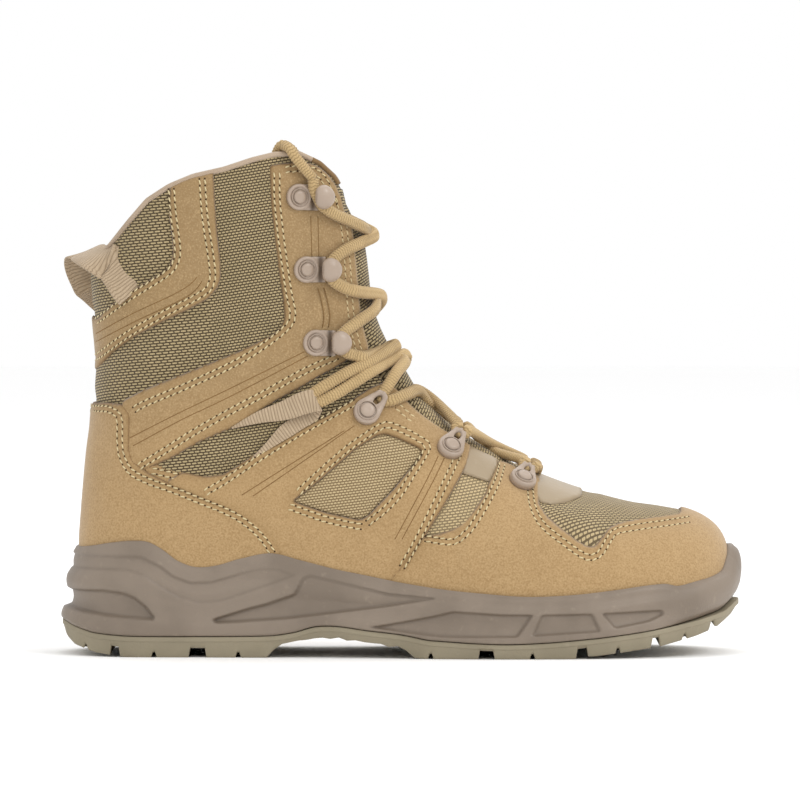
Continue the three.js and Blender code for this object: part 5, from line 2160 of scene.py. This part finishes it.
@dataclass
class Laces:
    """The lace through hooks, keepers and eyelets, with its two tucked ends."""

    lace: Finish
    width: float = 5.3
    height: float = 3.9
    bar_lift: float = 1.2
    end_width: float = 4.8
    end_height: float = 3.8
    end_diameter: float = 4.4

    def spot(self, points: Sequence[Point3], side: Side) -> tuple[Array, Array]:
        """Points and normals of picture places with heights over the skin.

        Args:
            points: columns, rows and heights.
            side: which side of the boot.

        Returns:
            The points and the normals.
        """
        data = np.array(points, float)
        place, angle = LAST.find(seen_line(*data[:, :2]), side)
        return LAST.over(place, angle, data[:, 2]), LAST.outward(place, angle)

    def loop(self, row: int, side: Side, leaving: bool) -> tuple[Array, Array]:
        """The lace in the loop of an eyelet, on its way in or out.

        Args:
            row: row of the lace, 1 at the top.
            side: which side of the boot.
            leaving: whether it runs on to the next row.

        Returns:
            The points and the normals.
        """
        turn = Hardware.seat(EYELET_PLACES[row - 5], side)
        way = (1 if side is Side.LATERAL else -1) * (-1 if leaving else 1)
        route = LOOP_ROUTE[::-1] if leaving else LOOP_ROUTE
        points = np.array([turn @ Vector((x, y * way, z)) for x, y, z in route])
        return points, np.tile(np.array(turn.to_3x3().col[2]), (len(route), 1))

    def side_run(self, row: int, side: Side, leaving: bool) -> tuple[Array, Array]:
        """The lace beside a row's hook, keeper or eyelet.

        Args:
            row: row of the lace, 1 at the top.
            side: which side of the boot.
            leaving: whether it runs on to the next row.

        Returns:
            The points and the normals.
        """
        if row > 5:
            return self.loop(row, side, leaving)
        return self.spot((LEAVING if leaving else ARRIVING)[row], side)

    def middle(self, row: int, lift: float) -> tuple[Array, Array]:
        """Where the strands of a row cross over the tongue."""
        place, front = LAST.find(seen_line(CROSSING[row]), Side.LATERAL)[0], np.array([np.pi])
        return LAST.over(place, front, lift), LAST.outward(place, front)

    def strand(self, row: int, side: Side) -> tuple[Array, Array]:
        """The strand that leaves a row on one side and arrives at the next on the other.

        Args:
            row: row of the lace, 1 at the top.
            side: the side that it leaves.

        Returns:
            The points and the normals.
        """
        apart = 3.3 if row < 5 else 2.6
        lift = CROSSING_LIFTS[row] + (apart if (row + (side is Side.LATERAL)) % 2 else 0)
        arriving = self.side_run(row + 1, side.other(), False)
        return joined([self.side_run(row, side, True), self.middle(row, lift), arriving])

    def build(self) -> None:
        """Makes both ends and both runs of the lace."""
        for side in Side:
            self.end(side)
        near, far = [self.run(side) for side in Side]
        route, normals = joined([near, self.middle(7, self.bar_lift), [a[::-1] for a in far]])
        strand = Strand(
            "lace_run", rounded_line(route, 10), rounded_line(normals, 10), self.width, self.height,
            sides=16, step=0.62, rib=0.07, square=0.85,
        )
        far = np.linspace(0, 1, len(strand.route))
        strand.widths = np.interp(np.minimum(far, 1 - far), (0, 0.015), (0.9, 1.0))
        nodes = [f"lace_crossing_{i}" for i in range(1, 6)] + ["lace_toe_bar"]
        Form.piece("lace_run", strand.mesh(), self.lace, "lace", nodes)

    def run(self, side: Side) -> tuple[Array, Array]:
        """Half of the lace, from the top of one side down to the toe bar.

        Args:
            side: the side that it starts on.

        Returns:
            The points and the normals.
        """
        runs = [self.spot(((309.5, 181, 4.4), (309.5, 189, 4.9)), side)]
        for row in range(1, 7):
            runs.append(self.strand(row, side))
            side = side.other()
        return joined(runs + [self.side_run(7, side, True)])

    def end(self, side: Side) -> None:
        """One tucked end, over the collar and down inside.

        Args:
            side: which side of the boot.
        """
        data = np.array(LACE_END_ROUTE)
        place, angle = LAST.find(LAST.outline(data[:, :2]), side)
        route = rounded_line(LAST.over(place, angle, data[:, 2]), 8)
        up = rounded_line(LAST.outward(place, angle), 8)
        word = side.name.lower()
        strand = Strand(f"lace_end_{word}_fine", route, up, self.end_width, self.end_height,
                        sides=16, step=0.62, rib=0.07)
        obj = Form.piece(strand.name, strand.mesh(), self.lace, "lace", [f"lace_end_{word}"])


KEEPER_UPPER = (
    (234, 426, 0.9, 0, 0.8), (260, 415.5, 2.4, 0, 5.2), (284, 409, 4.0, 0, 8.6),
    (300, 402.5, 5.5, 0, 10), (308, 400, 6.1, 10, 10.2), (314, 400, 5.3, 50, 10),
    (315.5, 401, 3.9, 90, 9.6),
    (314, 402.5, 2.7, 130, 9), (308, 406, 2.0, 170, 7),
)
KEEPER_LOWER = (
    (254, 456, 0.9, 0, 0.8), (270, 443, 1.6, 0, 3.4), (286, 429.5, 1.8, 0, 6.6),
    (300, 420.5, 1.9, 0, 6.6), (313, 414, 1.9, 0, 5.4), (318, 406, 1.9, 0, 4.0),
)


@dataclass
class Webbing:
    """The lace keepers and the pull loop."""

    skin: Skin
    webbing: Finish

    def leg(self, data: Sequence[Sequence[float]], side: Side) -> tuple[Array, Array, Array]:
        """Route, normals and widths of a leg of webbing.

        Args:
            data: rows of column, row, height, tilt in degrees and width.
            side: which side.

        Returns:
            Points, normals and widths along the leg.
        """
        rows = np.array(data, float)
        place, angle = LAST.find(seen_line(*rows[:, :2]), side)
        points, up = LAST.over(place, angle, rows[:, 2]), LAST.outward(place, angle)
        forward = np.array([0.9, 0, 0.35])
        way = unit(forward - up * (up @ forward)[:, None])
        tilt = np.radians(rows[:, 3])[:, None]
        return points, up * np.cos(tilt) + way * np.sin(tilt), rows[:, 4]

    def keepers(self) -> None:
        """Both keepers, each of a lower and an upper leg with a fold."""
        for side in Side:
            word = side.name.lower()
            for part, data, nodes in (
                ("upper", KEEPER_UPPER, [f"keeper_{word}"]), ("lower", KEEPER_LOWER, [])
            ):
                points, normals, widths = self.leg(data, side)
                strand = Strand(
                    f"keeper_{word}_{part}", rounded_line(points), rounded_line(normals), 1.0, 1.3,
                    sides=20, square=0.3, rib=0.0, widths=rounded_line(widths[:, None])[:, 0],
                )
                Form.piece(strand.name, strand.mesh(), self.webbing, "webbing", nodes)

    def loop(self) -> None:
        """The pull loop, sewn under the strap on both sides."""
        crown = seen(88.5, 252.5)
        halves = []
        for side, places in (
            (Side.LATERAL, ((137, 293), (132, 285), (126, 274.5), (119.5, 264))),
            (Side.MEDIAL, ((116, 309), (111, 303), (104, 296), (97, 287))),
        ):
            place, angle = LAST.find(seen_line(*places), side)
            leg = LAST.over(place, angle, np.array([0.4, 1.6, 1.9, 2.6]))
            for t in np.linspace(0.15, 1, 8):
                turn = t * np.pi / 2
                swing = math.sin(math.pi * t) * (3.5 if side is Side.MEDIAL else 0)
                leg = np.vstack([leg, [
                    leg[3, 0] + (crown[0] - leg[3, 0]) * math.sin(turn) - swing,
                    leg[3, 1] * math.cos(turn) ** 0.85 * (1 + 0.06 * math.sin(2 * turn)),
                    leg[3, 2] + (crown[1] - leg[3, 2]) * math.sin(turn),
                ]])
            halves.append(leg)
        route = rounded_line(np.vstack([halves[0], halves[1][::-1][1:]]), 8)
        way = np.gradient(route, axis=0)
        far = np.linspace(0, 1, len(route))[:, None]
        wide = np.array([-0.86, 0, -0.51]) * (1 - far) + np.array([-0.97, 0, -0.24]) * far
        strand = Strand("pull_loop_webbing", route, unit(np.cross(wide, way)), 16.4, 1.3, sides=24,
                        square=0.3, rib=0.0)
        Form.piece(strand.name, strand.mesh(), self.webbing, "webbing", ["pull_loop"])

    def binding(self, cloth: Finish, suede: Finish) -> None:
        """The binding that wraps the collar's edge, of suede near the throat.

        Args:
            cloth: finish at the back.
            suede: finish of the suede.
        """
        line = along_line(LAST.outline(COLLAR_LINE), 2.0)
        place, angle = LAST.find(line, Side.LATERAL)
        centre = LAST.section(place)["centre"]
        keep = np.abs(LAST.skin(place, angle)[:, 1] - centre) > self.skin.throat(place) + 0.5
        keep &= np.arange(len(line)) < np.argmax(line[:, 1]) + 12
        place, angle = place[keep], angle[keep]
        place = np.concatenate([place[::-1], place[1:]])
        angle = np.concatenate([angle[::-1], 2 * np.pi - angle[1:]])
        route = LAST.over(place, angle, -0.9)
        up = LAST.outward(place, angle)
        rear = np.nonzero(route[:, 0] < seen(314, 160)[0])[0]
        for name, start, stop, material in (
            ("rear", rear[0], rear[-1] + 1, cloth), ("lateral", 0, rear[0] + 1, suede),
            ("medial", rear[-1], len(route), suede),
        ):
            strand = Strand(
                f"collar_binding_{name}", route[start:stop], up[start:stop], 2.5, 4.0, sides=14,
                square=0.7, rib=0.0,
            )
            Form.piece(strand.name, strand.mesh(), material, "webbing")


# Side picture lines that double rows of thread follow
SEWN_ROWS = (
    (1.5, ((286, 171), (300, 170), (312, 171), (321, 176), (327, 184), (331, 195), (335, 206))),
    (1.5, ((279, 173), (279, 200), (283, 240), (290, 290), (294, 314), (287, 328), (262, 347),
           (235, 363), (190, 384), (150, 401), (137, 408))),
    (1.5, ((141, 465), (170, 447), (197, 430), (230, 411), (268, 391), (306, 370), (338, 356))),
    (1.9, ((207, 490), (226, 479), (250, 463), (273, 448), (306, 428), (356, 401))),
    (1.9, ((299, 490), (322, 469), (345, 449), (366, 434), (380, 425.5), (389, 423.5), (404, 429),
     (419, 437), (426, 442), (426, 449), (413, 470), (400, 490), (384, 507), (368, 519))),
    (1.9, ((290, 503), (308, 509.5), (326, 515.5), (345, 520), (362, 523))),
    (1.9, ((460, 449), (452, 465), (430, 510), (415, 540), (402, 562))),
    (1.4, ((502, 462), (497, 477), (488, 495), (476, 515), (466, 528), (451, 537), (425, 534))),
    (1.4, ((529, 484), (531, 502), (540, 520), (559, 536), (579, 550), (589, 552.5), (598, 548),
     (606, 536), (614, 528), (636, 524), (662, 521), (688, 518))),
    (2.3, ((60, 408), (97, 408), (111, 408.5), (121.5, 416), (122.5, 440), (124.5, 454),
           (133, 468.5), (150, 478), (176, 487), (201, 497), (226, 507), (243, 516), (257, 527),
           (267, 538), (274, 549))),
    (1.0, ((154, 468), (178, 473.5), (201, 480.5))),
    (1.6, ((97, 321), (102, 318), (131, 298), (168, 275), (178, 264), (181, 249), (177, 217),
           (175, 190))),
    (1.6, ((95, 358), (102, 354), (132, 333), (162, 316), (204, 294), (214, 283), (215, 266),
           (208, 217), (205.5, 180))),
)
PRESSED_LINES = (
    ((95, 335), (136, 313), (175, 295), (192, 285), (200, 277)),
    ((95, 343), (138, 321), (177, 303), (196, 292), (205, 281)),
    ((133, 436), (180, 412), (230, 388), (305, 351)),
    ((136, 444), (184, 418), (232, 395), (309, 355)),
    ((312, 217), (313, 258)),
    ((319, 217), (320, 258)),
    ((319, 288), (323, 303), (325, 316), (323.5, 327)),
    ((325, 288), (329, 303), (331, 316), (329.5, 327)),
    ((244, 492), (290, 463), (345, 429)),
    ((255, 493), (300, 462), (355, 424)),
    ((438, 454), (425, 480), (395, 535)),
    ((444, 456), (432, 480), (402, 535)),
)
WORN_FOLDS = (
    (((470, 492), (456, 520), (452, 550)), 0.5, 3.6),
    (((503, 500), (488, 530), (486, 560)), 0.45, 4.2),
    (((300, 440), (330, 447), (352, 462)), 0.35, 3.4),
    (((240, 330), (262, 322), (290, 334)), 0.4, 4.2),
    (((130, 385), (170, 372), (215, 352)), 0.45, 4.4),
    (((100, 430), (112, 470), (140, 510)), 0.35, 5.0),
    (((370, 470), (400, 500), (392, 540)), 0.4, 4.6),
    (((226, 250), (250, 236), (276, 240)), 0.4, 4.0),
)
PADDED_WINDOWS = (
    (1.3, ((84, 262), (117, 240), (150, 202), (180, 186), (178, 262), (135, 285), (90, 312))),
    (1.4, ((212, 178), (277, 151), (277, 200), (284, 260), (288, 318), (244, 349), (180, 375),
           (130, 400), (80, 400), (90, 364), (162, 330), (217, 300), (222, 262), (213, 205))),
    (1.2, ((147, 466), (201, 440), (243, 423), (303, 386), (345, 362), (365, 370), (345, 395),
           (273, 440), (215, 478), (150, 474))),
    (1.2, ((458, 474), (488, 484), (470, 528), (428, 530))),
    (1.2, ((545, 503), (572, 500), (600, 488), (640, 505), (606, 520), (590, 545), (552, 524))),
)
EYELET_PATCH = ((470, 440), (496, 453), (499, 462), (489, 479), (461, 470))
VAMP_PATCH = (
    (534, 458), (560, 462), (586, 478), (581, 494), (566, 499), (553, 501), (539, 499), (529, 484),
)
HEEL_CORNER = (
    (143, 462), (162, 461.5), (185, 467.5), (209, 475.5), (204, 491), (170, 488), (150, 478),
)


@dataclass
class Details:
    """Seams, pressed lines, patches and the finer cloth of some windows."""

    skin: Skin

    def shape(self) -> None:
        """Gives the skin its padded windows, seam troughs and worn folds."""
        for height, corners in PADDED_WINDOWS:
            self.skin.windows.append((Outline(seen_line(*corners), 3), height))
        for _, line in SEWN_ROWS:
            self.skin.seams.append(rounded_line(seen_line(*line), 4))
        for line, depth, width in WORN_FOLDS:
            self.skin.folds.append((rounded_line(seen_line(*line), 6), depth, width))

    def throat_row(self, offset: float, first: float, last: float) -> Array:
        """A side view line beside the edge of the throat."""
        place = np.linspace(first, last, 60)
        return LAST.over(place, self.skin.angles(place, np.ones(60), -offset), 1.5)[:, (0, 2)]

    def threads(self, thread: Finish, hole: Finish) -> None:
        """All rows of stitches.

        Args:
            thread: finish of the threads.
            hole: finish of the needle holes.
        """
        above = COLLAR_LINE + [(0.8, 1.5), (0.8, 2.6), (-0.1, 2.6), (-0.1, 1.4)]
        threads = Threads(self.skin, Outline(LAST.outline(above)))
        for lift, line in SEWN_ROWS:
            threads.double(rounded_line(seen_line(*line), 6), lift=lift)
        for first, last, lift in ((13.6, 20.6, 1.5), (10.0, 11.6, 1.9)):
            threads.double(self.throat_row(3.4, first, last), lift=lift)
        threads.build("stitches", thread, hole, "suede")

    def pressed(self, dark: Finish) -> None:
        """The fine lines pressed into the suede.

        Args:
            dark: finish of the lines.
        """
        parts = []
        for i, line in enumerate(PRESSED_LINES):
            view = along_line(rounded_line(seen_line(*line), 6), 1.2)
            top = 1.6 if i < 2 else 1.5 if i < 6 else 1.9
            for side in Side:
                place, angle = LAST.raised(view, side, top)
                lift = top + 0.02 + self.skin.crease(view)
                # Dark strips on the surface: the darker pressed suede, with painted shade of the
                # pressed grooves
                strand = Strand("line", LAST.over(place, angle, lift), LAST.outward(place, angle),
                                0.42, 0.14, sides=6, step=1.2, rib=0.0)
                parts.append(strand.mesh())
        Form.piece("pressed_lines", Form.join(parts), dark, "suede")

    def patches(
        self, knit: Finish, smooth: Finish, suede: Finish
    ) -> None:
        """The paler knit window, the smooth patches and the small tan corner.

        Args:
            knit: finish of the window.
            smooth: finish of the patches.
            suede: finish of the suede.
        """
        self.skin.windows.append((Outline(LAST.outline(WINDOW_LINE), 2), 1.0))
        for name, corners, top, lap, finish, slot in (
            ("quarter_knit", LAST.outline(WINDOW_LINE), 0.35, 0.0, knit, "upper_mesh"),
            ("eyelet_patch", seen_line(*EYELET_PATCH), 1.3, 0.0, smooth, "suede"),
            ("vamp_patch", seen_line(*VAMP_PATCH), 1.0, None, smooth, "suede"),
            ("heel_corner", seen_line(*HEEL_CORNER), 0.9, 0.0, suede, "suede"),
        ):
            padded = finish is knit
            cover = Cover(self.skin, name, corners, top=top, roll=0.7, step=1.1, lap=lap,
                          soften=1.6, puffed=padded, plain_edges=padded)
            obj = Form.piece(name, cover.mesh(), finish, slot)
            Form.thicken(obj, 1.0)


def main() -> None:
    """Builds the boot and its studio."""
    logging.basicConfig(level=logging.INFO, format="%(name)s: %(message)s")
    studio = Studio()
    studio.camera()
    suede = Suede("suede").build()
    foam = Moulded("foam", tint(146, 131, 115), tint(108, 94, 79)).build()
    rubber = Moulded("rubber", tint(161, 150, 126), tint(130, 120, 98), rough=0.7).build()
    # Metal finish with strong, dark painted shade where its pieces mark it
    metal = Moulded("coated_metal", tint(186, 166, 148), tint(160, 140, 122), rough=0.32, grain=0.5,
                    painted_shade_colour=tint(84, 68, 54), painted_shade_share=0.9).build()
    lace = Ribbed("lace_cord", tint(214, 184, 134), tint(158, 128, 84), pitch=1.24).build()
    skin = Skin()
    details = Details(skin)
    details.shape()
    laces = Laces(lace)
    laces.build()
    studio.floor()
    studio.lights()
    mesh = Mesh("air_mesh").build()
    knit = Mesh("pale_knit", tint(214, 190, 146), tint(138, 116, 80), pitch=1.5, row=1.2,
                depth=0.25).build()
    lining = Cloth("lining", tint(168, 146, 122), tint(120, 102, 84)).build()
    bound = Cloth("binding", tint(206, 184, 160), tint(168, 146, 122)).build()
    web = Ribbed("webbing", tint(203, 180, 150), tint(150, 126, 98), pitch=1.35).build()
    smooth = Moulded("smooth_leather", tint(172, 152, 122), tint(154, 134, 104), rough=0.42,
                     grain=1.2).build()
    thread = Plain("thread", tint(232, 214, 168), 0.6).build()
    # Painted shade of the needle holes
    hole = Plain("needle_hole_shade", tint(74, 54, 32), 0.9).build()
    # Darker pressed suede, with painted shade of the pressed grooves
    dark = Plain("pressed_line", tint(146, 112, 68), 0.9).build()
    upper = Upper(skin, mesh, suede, lining)
    details.patches(knit, smooth, suede)
    upper.body()
    upper.panels()
    Tongue(skin, mesh).build()
    sole = Sole(foam, rubber, lining)
    sole.midsole()
    sole.outsole()
    sole.footbed()
    Hardware(metal).build()
    webbing = Webbing(skin, web)
    webbing.keepers()
    webbing.loop()
    webbing.binding(bound, suede)
    details.threads(thread, hole)
    details.pressed(dark)


if __name__ == "__main__":
    main()
